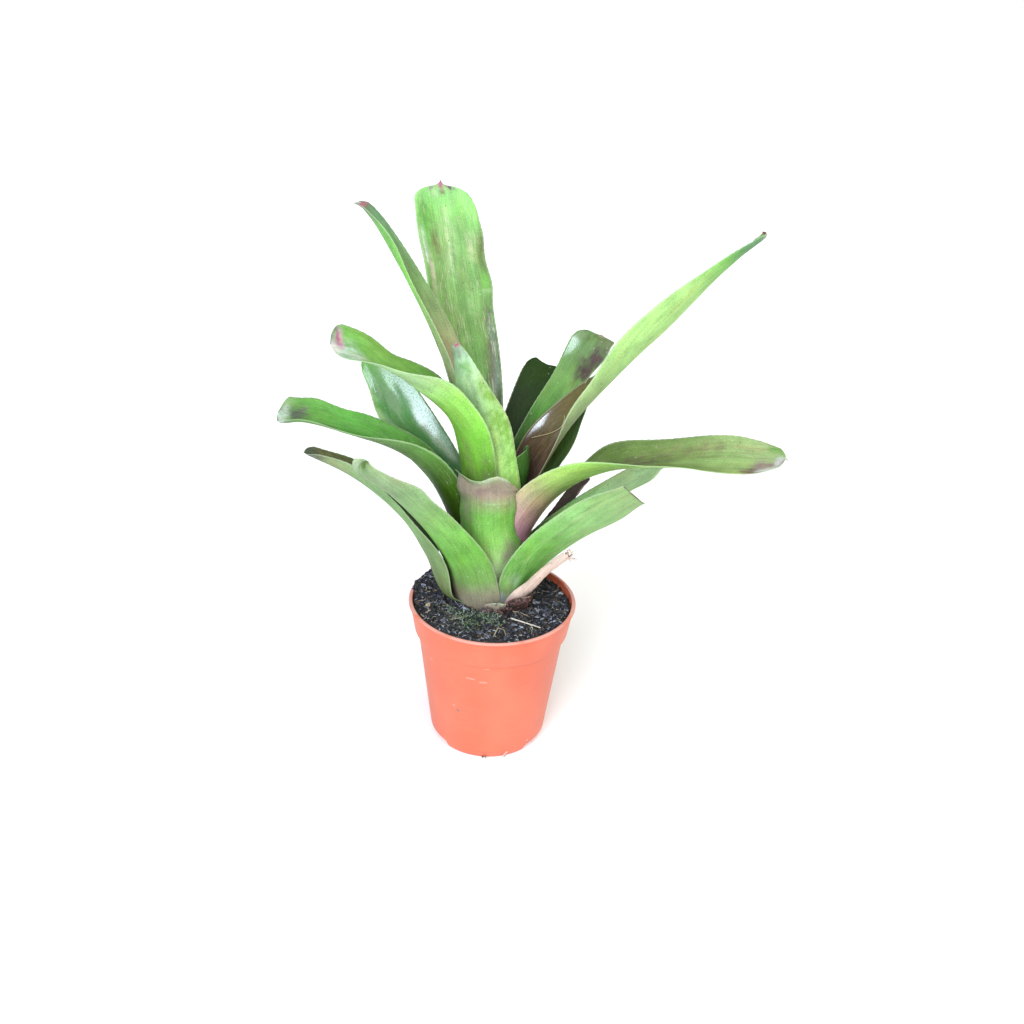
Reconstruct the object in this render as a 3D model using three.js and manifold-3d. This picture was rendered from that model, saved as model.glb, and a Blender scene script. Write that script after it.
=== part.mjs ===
// A neoregelia bromeliad in a plastic nursery pot, in millimetres, +Z up.
// The origin is the centre of the pot's underside. +X is to the right and -Y is the front.
import * as THREE from "three";
import { mergeVertices } from "three/addons/utils/BufferGeometryUtils.js";
import Module from "manifold-3d";

const wasm = await Module();
wasm.setup();

const DEG = Math.PI / 180;

// ---- driving dimensions ----

const POT = {
  rimRadius: 60, // outside the rolled lip
  height: 112,
  wall: 1.4,
  lip: 2.4, // how thick the rolled lip is
  bandHeight: 24, // the wider collar under the lip
  bandRadius: 55.6, // outside the collar's lower edge
  ledge: 2, // rise of the step under the collar
  shoulderRadius: 53, // outside the wall under the collar
  footRadius: 42.8, // outside the wall where the bottom corner begins
  baseRadius: 40.5, // the flat the pot stands on
  cornerHeight: 5,
  sides: 60,
};

// three flats pressed into the bottom corner, each with a drain slot
const NOTCH = {
  count: 3,
  first: 90 * DEG,
  radius: 38, // from the pot's axis to the flat, at the floor
  depth: 8,
  halfWidth: 13,
  height: 8,
  slope: -8 * DEG,
  slotWidth: 14,
  slotHeight: 3,
  slotLevel: 4.2,
};

const FLOOR_HOLES = { count: 4, circle: 22, radius: 3, first: 45 * DEG, sides: 16 };

const LIP_SIDES = 10;

const SOIL = {
  level: 105, // the soil line, below the lip
  clearance: 0.35, // to the pot's wall
  lumps: 0.55, // height of each wave of the lumpy surface
  mound: 3.5, // a low mound against the left of the rim
  moundReach: 46,
  moundSize: 12,
  holeRadius: 34, // round the plant's foot, at the soil line
  holeFoot: 33.5,
  innerRing: 18,
  rings: 7,
  sides: 48,
};

// The soil's lumps: crossed waves, each [turn along X, turn along Y, start], in radians a millimetre.
const LUMP_WAVES = [
  [0.42, 0.37, 1.3],
  [0.83, -0.61, 0],
  [0.3, 1.1, 1.6],
];

// The plant's axis stands a little behind the pot's.
const CROWN = new THREE.Vector3(-3, 16, SOIL.level);

const STEM = {
  topRadius: 4,
  topHeight: 8,
  rimRadius: 32,
  rimHeight: -5,
  rimThickness: 2.5,
  rimBevel: 1,
  plugRadius: 9, // the root plug under it
  plugFoot: 6.3,
  plugDepth: 42,
  sides: 36,
};

const BLADE = {
  thickness: 1.0,
  marginThickness: 0.7,
  rings: 19,
  across: 6,
  waveFrom: 60, // where the margins' waves begin, along the midrib
  waveFade: 40,
  waveLag: 0.37, // of a wave, between the two margins
  slantReach: 40, // how far back a slanted end reaches
};

const TIP = {
  rings: [0.35, 0.62, 0.82, 0.93, 1], // along the tip, as shares of its length
  shoulder: 0.92, // where the round shoulders would close
  roundness: 2.4,
  pointWidth: 0.05, // the short point's half-width at its end, as a share of the blade's
  pointRise: 0.6,
};

const MIDRIB = { tension: 0.5, samples: 160 };

const SEAT = 0.4; // gap that touching pieces keep
const PAST = 10; // how far a cut runs past what it cuts

// ---- the leaves ----
// heading: compass direction of the leaf, anticlockwise from +X, in degrees.
// ring: radius of its sheath on the stem, and foot: the sheath's width there.
// stations: [reach, side, height, width, cup, roll] along the midrib, from the crown. cup is the half-angle
// of the blade's channel and roll its turn about the midrib, in degrees. WRAP bends a sheath round the axis.
// tip: how far back from the end the blade narrows. wave: [height, length, start] of the margins' waves.
const WRAP = null;
const LEAVES = [
  { name: "leaf_tall_back", heading: 118, ring: 12.7, foot: 24, tip: 24, slant: 0, wave: [0.8, 70, 0.2],
    stations: [
      [14, 0, 40, 28, WRAP, 0], [18, 0, 85, 32, 52, 0], [29, 0, 125, 38, 45, 0], [48, 0, 165, 43, 32, 0],
      [73, 0, 216, 48, 22, 0], [99, 0, 277, 45, 12, 0]] },
  { name: "leaf_tall_left", heading: 172, ring: 11, foot: 26, tip: 10, slant: 0, wave: [0.8, 80, 0],
    stations: [
      [11, 0, 40, 30, WRAP, 0], [11, 0, 85, 32, 75, 0], [14, 0, 125, 32, 68, 0], [28, 0, 165, 31, 62, 0],
      [51, 0, 212, 27, 58, 0], [78, 0, 257, 20, 48, 0], [93, 0, 277, 12, 40, 0]] },
  { name: "leaf_inner_front", heading: 246, ring: 14.4, foot: 32, tip: 12, slant: 0, wave: [0.8, 50, 0],
    stations: [
      [15.5, 1, 40, 38, WRAP, 0], [17.5, 5, 80, 47, 76, 0], [20, 4, 112, 44, 64, 0],
      [24, -6, 145, 34, 50, 0], [31, -11, 172, 26, 42, 0], [35, -16, 198, 10, 35, 0]] },
  { name: "leaf_upper_left", heading: 212, ring: 17.8, foot: 34, tip: 18, slant: 0, wave: [1.2, 60, 0.5],
    stations: [
      [19.5, 1, 40, 42, WRAP, 0], [22, 3, 80, 49, 70, 0], [26, 4, 115, 52, 62, 0],
      [37, 1, 143, 48, 56, 0], [58, -5, 169, 45, 50, -2], [85, -10, 190, 42, 32, -15],
      [110, -13, 201, 42, 28, -24]] },
  { name: "leaf_back_left", heading: 142, ring: 19.4, foot: 30, tip: 20, slant: 0, wave: [1.2, 70, 0.3],
    stations: [
      [21, 0, 30, 32, WRAP, 0], [32, 0, 58, 38, 50, 0], [50, 0, 84, 42, 38, -8],
      [76, 0, 113, 42, 28, -14], [104, 0, 140, 40, 24, -18], [130, 0, 157, 30, 20, -18]] },
  { name: "leaf_low_left", heading: 181, ring: 21, foot: 34, tip: 12, slant: 0, wave: [1, 60, 0.1],
    stations: [
      [23, 0, 28, 36, WRAP, 0], [29, -1, 60, 42, 58, 0], [50, -2, 99, 42, 48, 2],
      [92, -2, 123, 38, 38, 0], [146, 0, 137, 35, 30, 0]] },
  { name: "leaf_lowest_left", heading: 196, ring: 24.3, foot: 36, tip: 10, slant: 0, wave: [1, 50, 0.4],
    stations: [
      [29, -1, 13, 38, WRAP, 0], [43, -1, 39, 43, 58, 0], [65, 0, 71, 43, 50, 0],
      [96, 0, 102, 38, 45, 0], [128, 0, 123, 20, 40, 0]] },
  { name: "leaf_front_left", heading: 235, ring: 26.2, foot: 48, tip: 10, slant: 0, wave: [1, 55, 0.7],
    stations: [
      [30, 0, 14, 54, WRAP, 0], [37, -4, 40, 54, 60, 0], [55, -11, 72, 47, 50, 0],
      [78, -19, 101, 42, 45, 0], [100, -26, 125, 24, 40, 0]] },
  { name: "leaf_front", heading: 262, ring: 22.6, foot: 36, tip: 8, slant: 0, wave: [1.2, 22, 0],
    stations: [
      [24, 0, 30, 40, WRAP, 0], [28, 0, 65, 43, 53, 0], [32, 0, 97, 44, 45, 0], [42, 0, 114, 42, 35, 0],
      [54, 0, 108, 36, 25, 0]] },
  { name: "leaf_long_right", heading: 16, ring: 16.1, foot: 30, tip: 8, slant: 0, wave: [1, 80, 0],
    stations: [
      [18, 0, 40, 34, WRAP, 0], [23, 0, 70, 38, 58, 4], [33, 0, 103, 40, 54, 8],
      [52, 0, 132, 42, 50, -4], [80, 0, 161, 45, 50, -34], [118, 0, 201, 41, 45, -48],
      [153, 0, 236, 24, 42, -40], [180, 0, 259, 8, 35, -10]] },
  { name: "leaf_back_right", heading: 45, ring: 17.8, foot: 34, tip: 18, slant: 0, wave: [1, 60, 0],
    stations: [
      [20, 0, 40, 38, WRAP, 0], [28, 0, 80, 40, 60, 0], [46, 0, 112, 38, 45, 0], [68, 0, 144, 37, 30, 0],
      [92, 0, 173, 35, 18, 0], [103, 0, 180, 32, 15, 0]] },
  { name: "leaf_back", heading: 68, ring: 19.4, foot: 22, tip: 16, slant: 0, wave: [1, 60, 0.6],
    stations: [
      [22, 0, 35, 26, WRAP, 0], [28, 0, 70, 32, 45, 0], [46, 0, 106, 33, 36, 0], [72, 0, 136, 32, 28, 0],
      [98, 0, 152, 28, 20, 0]] },
  { name: "leaf_long_low_right", heading: 340, ring: 21, foot: 34, tip: 14, slant: 0, wave: [1.2, 70, 0.2],
    stations: [
      [23, 0, 28, 42, WRAP, 0], [28, -1, 60, 54, 66, -14], [48, 2, 93, 54, 52, -22],
      [88, 8, 118, 45, 44, -4], [144, 16, 132, 37, 30, 20], [172, 20, 135, 33, 26, 20],
      [192, 23, 137, 22, 26, 10]] },
  { name: "leaf_low_right", heading: 5, ring: 24.3, foot: 40, tip: 12, slant: 0, wave: [1, 60, 0],
    stations: [
      [27, 0, 14, 44, WRAP, 0], [36, 0, 34, 42, 60, 0], [56, 0, 56, 40, 48, 0], [90, 0, 84, 37, 40, 0],
      [120, 0, 105, 27, 30, 0]] },
  { name: "leaf_front_right", heading: 328, ring: 27.6, foot: 44, tip: 0, slant: -9, wave: [1, 60, 0],
    stations: [
      [29, 0, 10, 46, WRAP, 0], [37, 0, 31, 50, 54, -12], [57, 0, 60, 48, 42, -28],
      [84, 0, 88, 46, 34, -35], [109, 0, 107, 40, 30, -32]] },
  { name: "leaf_short_right", heading: 32, ring: 22.6, foot: 24, tip: 14, slant: 0, wave: [1, 50, 0],
    stations: [
      [25, 0, 30, 26, WRAP, 0], [32, 0, 60, 32, 45, 0], [45, 0, 90, 32, 40, 0], [60, 0, 116, 28, 34, 0],
      [74, 0, 140, 16, 30, 0]] },
  { name: "leaf_heart", heading: 330, ring: 8.7, foot: 18, tip: 12, slant: 0, wave: [0, 60, 0],
    stations: [
      [8.5, 0, 40, 24, WRAP, 0], [8.5, 0, 80, 26, 65, 0], [9, 0, 110, 24, 55, 0],
      [11, 0, 134, 14, 40, 0]] },
  { name: "leaf_withered_back", heading: 38, ring: 26, foot: 20, tip: 6, slant: 0, wave: [1, 30, 0],
    stations: [
      [30, 0, 12, 22, WRAP, 0], [44, 0, 28, 20, 60, 0], [58, 0, 43, 16, 60, 0], [74, 0, 60, 14, 60, 0],
      [88, 0, 75, 12, 60, 0]] },
  { name: "withered_stub", heading: 318, ring: 30, foot: 36, tip: 0, slant: 0, wave: [0, 60, 0],
    stations: [
      [32, 0, 4, 26, 30, 0], [35.5, 0, 11, 17, 75, 0], [42, 0, 21, 13, 140, 0], [56, 0, 41, 12, 150, 0],
      [73, 0, 60, 12, 140, 0]] },
];

// Where two sheaths press together, the first one's margin gives way to the second.
const GIVES_WAY = [
  ["leaf_tall_back", "leaf_inner_front"],
  ["leaf_inner_front", "leaf_upper_left"],
  ["leaf_upper_left", "leaf_long_low_right"],
  ["leaf_tall_back", "leaf_upper_left"],
  ["leaf_back_left", "leaf_low_left"],
  ["leaf_back", "leaf_back_left"],
  ["leaf_low_left", "leaf_front"],
  ["leaf_lowest_left", "leaf_front_left"],
  ["leaf_front_left", "leaf_front_right"],
  ["leaf_back_right", "leaf_long_right"],
  ["leaf_short_right", "leaf_long_low_right"],
  ["leaf_front", "leaf_long_low_right"],
  ["leaf_long_right", "leaf_inner_front"],
];

// ---- materials ----

const MATERIALS = {
  plastic: new THREE.MeshStandardMaterial({ color: 0xe8866a, roughness: 0.45, metalness: 0 }),
  soil: new THREE.MeshStandardMaterial({ color: 0x2a262a, roughness: 0.95, metalness: 0 }),
  stem: new THREE.MeshStandardMaterial({ color: 0x7c6a4a, roughness: 0.8, metalness: 0 }),
  leaf: new THREE.MeshStandardMaterial({ color: 0x5fa53a, roughness: 0.4, metalness: 0 }),
  withered: new THREE.MeshStandardMaterial({ color: 0x6a4a3a, roughness: 0.85, metalness: 0 }),
};

// ---- helpers ----

function named(geometry, name, material) {
  const mesh = new THREE.Mesh(geometry, material);
  mesh.name = name;
  return mesh;
}

function solidOf(geometry) {
  const bare = new THREE.BufferGeometry().setAttribute("position", geometry.getAttribute("position"));
  if (geometry.index) bare.setIndex(geometry.index);
  const merged = mergeVertices(bare, 1e-3);
  return new wasm.Manifold(
    new wasm.Mesh({
      numProp: 3,
      vertProperties: merged.getAttribute("position").array,
      triVerts: new Uint32Array(merged.index.array),
    }),
  );
}

function geometryOf(solid) {
  const mesh = solid.getMesh();
  const points = new Float32Array(mesh.numVert * 3);
  for (let i = 0; i < mesh.numVert; i++) {
    points.set(mesh.vertProperties.subarray(i * mesh.numProp, i * mesh.numProp + 3), i * 3);
  }
  return new THREE.BufferGeometry()
    .setAttribute("position", new THREE.BufferAttribute(points, 3))
    .setIndex(new THREE.BufferAttribute(mesh.triVerts, 1));
}

const smooth = (x) => {
  const t = Math.min(Math.max(x, 0), 1);
  return t * t * (3 - 2 * t);
};

// A profile of [radius, height] pairs turned about Z.
function turned(profile, sides) {
  const points = profile.map(([r, z]) => new THREE.Vector2(r, z));
  return new THREE.LatheGeometry(points, sides).rotateX(Math.PI / 2);
}

// ---- leaf surface ----

const stemHeight = (radius) =>
  STEM.topHeight +
  ((STEM.rimHeight - STEM.topHeight) * (radius - STEM.topRadius)) / (STEM.rimRadius - STEM.topRadius);

// The leaf's midrib, and its width, cup and roll, as two curves on one parameter.
function leafCurves(leaf) {
  const heading = leaf.heading * DEG;
  const out = new THREE.Vector3(Math.cos(heading), Math.sin(heading), 0);
  const side = new THREE.Vector3(-Math.sin(heading), Math.cos(heading), 0);
  const foot = [leaf.ring, 0, stemHeight(leaf.ring) + SEAT, leaf.foot, WRAP, 0];
  const stations = [foot, ...leaf.stations];
  const spine = stations.map(([reach, aside, height]) =>
    new THREE.Vector3(0, 0, height).addScaledVector(out, reach).addScaledVector(side, aside).add(CROWN),
  );
  const shape = stations.map(([reach, , , width, cup, roll]) => {
    const bend = cup === WRAP ? width / 2 / reach : cup * DEG;
    return new THREE.Vector3(width, bend, roll * DEG);
  });
  return {
    side,
    spine: new THREE.CatmullRomCurve3(spine, false, "catmullrom", MIDRIB.tension),
    shape: new THREE.CatmullRomCurve3(shape, false, "catmullrom", MIDRIB.tension),
  };
}

// Curve parameters of the rings, closer together towards the tip.
function ringParameters(curve, tipLength) {
  const { samples } = MIDRIB;
  const lengths = [0];
  let last = curve.getPoint(0);
  for (let i = 1; i <= samples; i++) {
    const next = curve.getPoint(i / samples);
    lengths.push(lengths[i - 1] + next.distanceTo(last));
    last = next;
  }
  const total = lengths[samples];
  const body = BLADE.rings - TIP.rings.length;
  const tip = Math.max(tipLength, total / BLADE.rings);
  const stops = [];
  for (let i = 0; i <= body; i++) stops.push(((total - tip) * i) / body);
  for (const share of TIP.rings) stops.push(total - tip + tip * share);
  return stops.map((s) => {
    let i = 1;
    while (i < samples && lengths[i] < s) i++;
    const part = (s - lengths[i - 1]) / (lengths[i] - lengths[i - 1]);
    const left = total - s;
    return { t: Math.min((i - 1 + part) / samples, 1), along: s, left, fromTip: left / tip };
  });
}

// Half-width share towards the tip: round shoulders, then a short point.
function tipShare(fromTip) {
  if (fromTip >= 1) return 1;
  const shoulder = Math.sqrt(Math.max(1 - ((1 - fromTip) / TIP.shoulder) ** TIP.roundness, 0));
  return Math.max(shoulder, TIP.pointWidth + TIP.pointRise * fromTip);
}

// Point, inner face's normal and thickness at each ring and place across. grow swells the blade all round.
function leafGrid(leaf, grow = 0) {
  const { across } = BLADE;
  const { side, spine, shape } = leafCurves(leaf);
  const [waveHeight, waveLength, waveStart] = leaf.wave;
  return ringParameters(spine, leaf.tip).map(({ t, along, left, fromTip }) => {
    const centre = spine.getPoint(t);
    const tangent = spine.getTangent(t);
    const [narrow, cup, roll] = shape.getPoint(t).toArray();
    const width = narrow + 2 * grow;
    const flatWide = side.clone().addScaledVector(tangent, -side.dot(tangent)).normalize();
    const flatIn = tangent.clone().cross(flatWide);
    const wide = flatWide.clone().multiplyScalar(Math.cos(roll)).addScaledVector(flatIn, Math.sin(roll));
    const inward = tangent.clone().cross(wide);
    const radius = narrow / 2 / cup;
    const bend = width / 2 / radius;
    const share = leaf.tip ? tipShare(fromTip) : 1;
    const lean = leaf.slant * smooth(1 - left / BLADE.slantReach);
    const swell = waveHeight * smooth((along - BLADE.waveFrom) / BLADE.waveFade) * share;
    const row = [];
    for (let j = 0; j <= across; j++) {
      const v = (2 * j) / across - 1;
      const angle = bend * v * share;
      const normal = inward.clone().multiplyScalar(Math.cos(angle)).addScaledVector(wide, -Math.sin(angle));
      const phase = along / waveLength + waveStart + (v < 0 ? BLADE.waveLag : 0);
      const point = centre
        .clone()
        .addScaledVector(wide, radius * Math.sin(angle))
        .addScaledVector(inward, radius * (1 - Math.cos(angle)))
        .addScaledVector(normal, swell * v * v * Math.sin(2 * Math.PI * phase))
        .addScaledVector(tangent, lean * v);
      const thickness = BLADE.thickness + (BLADE.marginThickness - BLADE.thickness) * v * v + 2 * grow;
      row.push({ point, normal, thickness });
    }
    return row;
  });
}

// A closed blade: both faces of the grid, split alike, and a strip round its edge.
function bladeGeometry(grid) {
  const rows = grid.length;
  const columns = grid[0].length;
  const points = [];
  for (const face of [0.5, -0.5]) {
    for (const row of grid) {
      for (const { point, normal, thickness } of row) {
        points.push(...point.clone().addScaledVector(normal, face * thickness).toArray());
      }
    }
  }
  const upper = (i, j) => i * columns + j;
  const under = (i, j) => rows * columns + i * columns + j;
  const faces = [];
  const quad = (a, b, c, d) => faces.push(a, b, c, a, c, d);
  for (let i = 0; i < rows - 1; i++) {
    for (let j = 0; j < columns - 1; j++) {
      quad(upper(i, j), upper(i + 1, j), upper(i + 1, j + 1), upper(i, j + 1));
      faces.push(under(i, j), under(i + 1, j + 1), under(i + 1, j));
      faces.push(under(i, j), under(i, j + 1), under(i + 1, j + 1));
    }
    quad(upper(i, 0), under(i, 0), under(i + 1, 0), upper(i + 1, 0));
    quad(upper(i + 1, columns - 1), under(i + 1, columns - 1), under(i, columns - 1), upper(i, columns - 1));
  }
  for (let j = 0; j < columns - 1; j++) {
    quad(upper(0, j + 1), under(0, j + 1), under(0, j), upper(0, j));
    quad(upper(rows - 1, j), under(rows - 1, j), under(rows - 1, j + 1), upper(rows - 1, j + 1));
  }
  return new THREE.BufferGeometry()
    .setAttribute("position", new THREE.BufferAttribute(new Float32Array(points), 3))
    .setIndex(faces);
}

// The blade's solid, cut back from each neighbour that it gives way to.
function leafSolid(leaf) {
  let blade = solidOf(bladeGeometry(leafGrid(leaf)));
  for (const [giving, keeping] of GIVES_WAY) {
    if (giving !== leaf.name) continue;
    const neighbour = LEAVES.find(({ name }) => name === keeping);
    blade = blade.subtract(solidOf(bladeGeometry(leafGrid(neighbour, SEAT))));
  }
  return blade.decompose().reduce((best, piece) => (piece.volume() > best.volume() ? piece : best));
}

// ---- pot and soil ----

// The pot's outline moved inwards by inset: 0 gives the outside, a wall's thickness the cavity.
function potOutline(inset, top) {
  const collarBase = POT.height - POT.bandHeight;
  return [
    [0, inset],
    [POT.baseRadius - inset, inset],
    [POT.footRadius - inset, POT.cornerHeight + inset / 2],
    [POT.shoulderRadius - inset, collarBase + inset / 2],
    [POT.bandRadius - inset, collarBase + POT.ledge + inset / 2],
    [POT.rimRadius - POT.lip / 2 - inset, POT.height - POT.lip],
    [POT.rimRadius - POT.lip / 2 - inset, top],
    [0, top],
  ];
}

// The outline turned into a solid, with the flats pressed into its bottom corner.
function potBody(inset, top) {
  let body = solidOf(turned(potOutline(inset, top), POT.sides));
  const reach = NOTCH.depth + PAST;
  for (const heading of notchHeadings()) {
    const press = new THREE.BoxGeometry(2 * reach, 2 * (NOTCH.halfWidth + inset), 2 * (NOTCH.height + inset))
      .rotateY(NOTCH.slope)
      .translate(NOTCH.radius + reach - inset, 0, 0)
      .rotateZ(heading);
    body = body.subtract(solidOf(press));
  }
  return body;
}

function notchHeadings() {
  return Array.from({ length: NOTCH.count }, (_, k) => NOTCH.first + (k * 2 * Math.PI) / NOTCH.count);
}

function pot() {
  const lipReach = (POT.lip + POT.wall) / 2;
  const lip = [];
  for (let k = 0; k <= LIP_SIDES; k++) {
    const a = (2 * Math.PI * k) / LIP_SIDES;
    const height = POT.height + (POT.lip / 2) * (Math.sin(a) - 1);
    lip.push([POT.rimRadius + lipReach * (Math.cos(a) - 1), height]);
  }
  let shell = potBody(0, POT.height - POT.lip / 2).add(solidOf(turned(lip, POT.sides)));
  shell = shell.subtract(potBody(POT.wall, POT.height + PAST));
  for (const heading of notchHeadings()) {
    const slot = new THREE.BoxGeometry(NOTCH.radius, NOTCH.slotWidth, NOTCH.slotHeight)
      .translate(NOTCH.radius, 0, NOTCH.slotLevel)
      .rotateZ(heading);
    shell = shell.subtract(solidOf(slot));
  }
  for (let k = 0; k < FLOOR_HOLES.count; k++) {
    const { radius, circle, first, count, sides } = FLOOR_HOLES;
    const hole = new THREE.CylinderGeometry(radius, radius, 2 * PAST, sides)
      .rotateX(Math.PI / 2)
      .translate(circle, 0, 0)
      .rotateZ(first + (k * 2 * Math.PI) / count);
    shell = shell.subtract(solidOf(hole));
  }
  return geometryOf(shell);
}

// Peat surface height: a low mound at the left, and lumps from crossed waves.
function soilHeight(x, y) {
  let lumps = 0;
  for (const [turnX, turnY, start] of LUMP_WAVES) {
    lumps += SOIL.lumps * Math.sin(turnX * x + turnY * y + start);
  }
  const mound = SOIL.mound * Math.exp(-((x + SOIL.moundReach) ** 2 + y * y) / (2 * SOIL.moundSize ** 2));
  return SOIL.level + lumps + mound;
}

function soil() {
  const outer = POT.rimRadius;
  const profile = [[outer, SOIL.level], [0, SOIL.level]];
  for (let k = 0; k < SOIL.rings; k++) {
    const radius = SOIL.innerRing + ((outer - SOIL.innerRing) * k) / SOIL.rings;
    profile.splice(1, 0, [radius, SOIL.level]);
  }
  profile.push([0, 0], [outer, 0], [outer, SOIL.level]);
  const block = turned(profile, SOIL.sides);
  const at = block.getAttribute("position");
  for (let i = 0; i < at.count; i++) {
    if (at.getZ(i) > 0) at.setZ(i, soilHeight(at.getX(i), at.getY(i)));
  }
  const plugFloor = SOIL.level - STEM.plugDepth - SEAT;
  const holeFloor = SOIL.level + STEM.rimHeight - STEM.rimThickness - SEAT;
  const well = turned(
    [
      [0, plugFloor],
      [STEM.plugRadius + SEAT, plugFloor],
      [STEM.plugRadius + SEAT, holeFloor],
      [SOIL.holeFoot, holeFloor],
      [SOIL.holeRadius, SOIL.level],
      [SOIL.holeRadius, SOIL.level + PAST],
      [0, SOIL.level + PAST],
    ],
    SOIL.sides,
  ).translate(CROWN.x, CROWN.y, 0);
  const filled = potBody(POT.wall + SOIL.clearance, POT.height + PAST).intersect(solidOf(block));
  return geometryOf(filled.subtract(solidOf(well)));
}

// ---- stem ----

function stem() {
  const rimFoot = STEM.rimHeight - STEM.rimThickness;
  const profile = [
    [0, -STEM.plugDepth],
    [STEM.plugFoot, -STEM.plugDepth],
    [STEM.plugRadius, -STEM.plugDepth / 2],
    [STEM.plugRadius, rimFoot],
    [STEM.rimRadius - STEM.rimBevel, rimFoot],
    [STEM.rimRadius, STEM.rimHeight],
    [STEM.topRadius, STEM.topHeight],
    [0, STEM.topHeight],
  ];
  return turned(profile, STEM.sides).translate(...CROWN.toArray());
}

// ---- the object ----

const plant = new THREE.Group();
plant.add(named(pot(), "pot", MATERIALS.plastic));
plant.add(named(soil(), "soil", MATERIALS.soil));
plant.add(named(stem(), "stem", MATERIALS.stem));
for (const leaf of LEAVES) {
  const material = leaf.name.includes("withered") ? MATERIALS.withered : MATERIALS.leaf;
  plant.add(named(geometryOf(leafSolid(leaf)), leaf.name, material));
}

export default plant;
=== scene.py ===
"""A neoregelia bromeliad in its nursery pot: leaves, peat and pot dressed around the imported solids."""

import math

import bpy
import numpy as np
from mathutils import Matrix, Vector


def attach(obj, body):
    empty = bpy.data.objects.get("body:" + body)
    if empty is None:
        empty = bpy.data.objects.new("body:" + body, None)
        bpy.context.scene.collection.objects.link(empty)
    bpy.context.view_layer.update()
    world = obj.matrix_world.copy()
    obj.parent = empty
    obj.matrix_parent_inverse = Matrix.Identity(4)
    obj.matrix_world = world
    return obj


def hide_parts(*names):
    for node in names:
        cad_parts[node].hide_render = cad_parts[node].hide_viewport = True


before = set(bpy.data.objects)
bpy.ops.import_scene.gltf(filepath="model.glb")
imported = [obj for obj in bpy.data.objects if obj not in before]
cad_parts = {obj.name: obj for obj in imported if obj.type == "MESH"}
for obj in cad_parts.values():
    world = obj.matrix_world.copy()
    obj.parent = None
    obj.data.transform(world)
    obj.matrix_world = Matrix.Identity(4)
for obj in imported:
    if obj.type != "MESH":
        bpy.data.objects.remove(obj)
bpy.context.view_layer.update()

MM = 0.001
RNG = np.random.default_rng(41)

# ---- sizes, in millimetres ----

SOIL_LEVEL = 105.0
CROWN = np.array([-3.0, 16.0, SOIL_LEVEL])  # where the stem meets the soil
STEM_TOP = (4.0, 8.0)  # radius and height above the soil line
STEM_RIM = (32.0, -5.0)
SEAT = 0.4  # how far a leaf's foot stands off the stem

# middle and margin: a blade's thickness, which end_slope and end_least thin out to its tip.
# step and across: the mesh's rows and columns. calm: ripples and teeth grow to full size over this length.
BLADE = dict(
    middle=1.1, margin=0.35, end_slope=30, end_least=0.35, step=1.5, across=28, samples=1200,
    ripple=0.12, calm=60.0, wave_from=60.0, wave_fade=40.0, wave_lag=0.37,
)
TIP = dict(shoulder=0.92, roundness=2.4, point=0.02, rise=0.62, step=0.7, least=8.0, least_bend=1e-6)
TEETH = dict(pitch=4.5, height=0.2, share=0.17)
DRY = dict(crumple=(0.25, 0.9), fineness=2.6)
RIPPLES = ((1, 11, 0.12), (1, 5.3, -0.21), (0.7, 3.1, 0.45), (0.8, 23, 0))  # height, length, slant
BLOTCHES = dict(
    lengths=(3.5, 4.5, 5.5, 7, 8.5, 10, 13, 16, 20, 26), waves=2, across=1.4, along=0.7, contrast=0.17,
    seed_shift=100,
)
PATCH_EDGE = (0.6, 0.75)  # a patch's strength between blotches, and what a blotch adds to it
GRAIN_SHIFT = 37.0  # keeps two leaves from having the same veins

POT = dict(
    rim=60.0, height=112.0, wall=1.4, lip=2.4, band=24.0, band_radius=55.6, ledge=2.0,
    shoulder=53.0, foot=42.8, base=40.5, corner=5.0, rounds=(1.2, 2.2, 0.8, 0.7, 0.5), sides=192, crease=32,
)
NOTCH = dict(count=3, first=90.0, radius=38.0, depth=8.0, half_width=13.0, height=8.0, slope=-8.0)
SLOT = dict(width=14.0, height=3.0, level=4.2)
FLOOR_HOLES = dict(count=4, circle=22.0, radius=3.0, first=45.0, sides=32)
CLEAR = 10.0  # how far a cutter reaches past what it cuts

# ---- colours, as seen in flat light ----

ALBEDO = 0.62
COLOURS = {
    "lime": (186, 236, 140), "bright": (150, 214, 104), "fresh": (130, 200, 88), "green": (112, 178, 78),
    "grass": (98, 168, 66), "sage": (150, 186, 124), "pale": (172, 212, 150), "mint": (166, 208, 160),
    "olive": (118, 146, 72), "moss": (92, 120, 44), "deep": (62, 96, 34), "dark": (46, 72, 20),
    "bronze": (136, 130, 92), "umber": (112, 100, 82), "plum": (96, 74, 74), "mauve": (160, 128, 130),
    "pink": (208, 152, 172), "cream": (214, 226, 190), "white": (236, 238, 228), "ash": (150, 152, 140),
    "slate": (92, 98, 88), "rust": (122, 74, 62), "brown": (98, 74, 58), "black": (38, 32, 30),
    "scurf": (214, 206, 172), "straw": (255, 222, 202), "blush": (176, 160, 140),
}
WARMER = (1.25, 0.86, 0.75, 1)
ROT = dict(edge=(214, 164, 152), core=(24, 20, 22))
# The palest tone on the lip is partly wear and partly a painted highlight.
PLASTIC = dict(
    deep=(244, 117, 83), light=(250, 129, 95), flow=(244, 150, 124), dust=(250, 190, 176),
    scratch=(252, 158, 136), lip_wear_and_highlight=(255, 214, 208),
)
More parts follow.
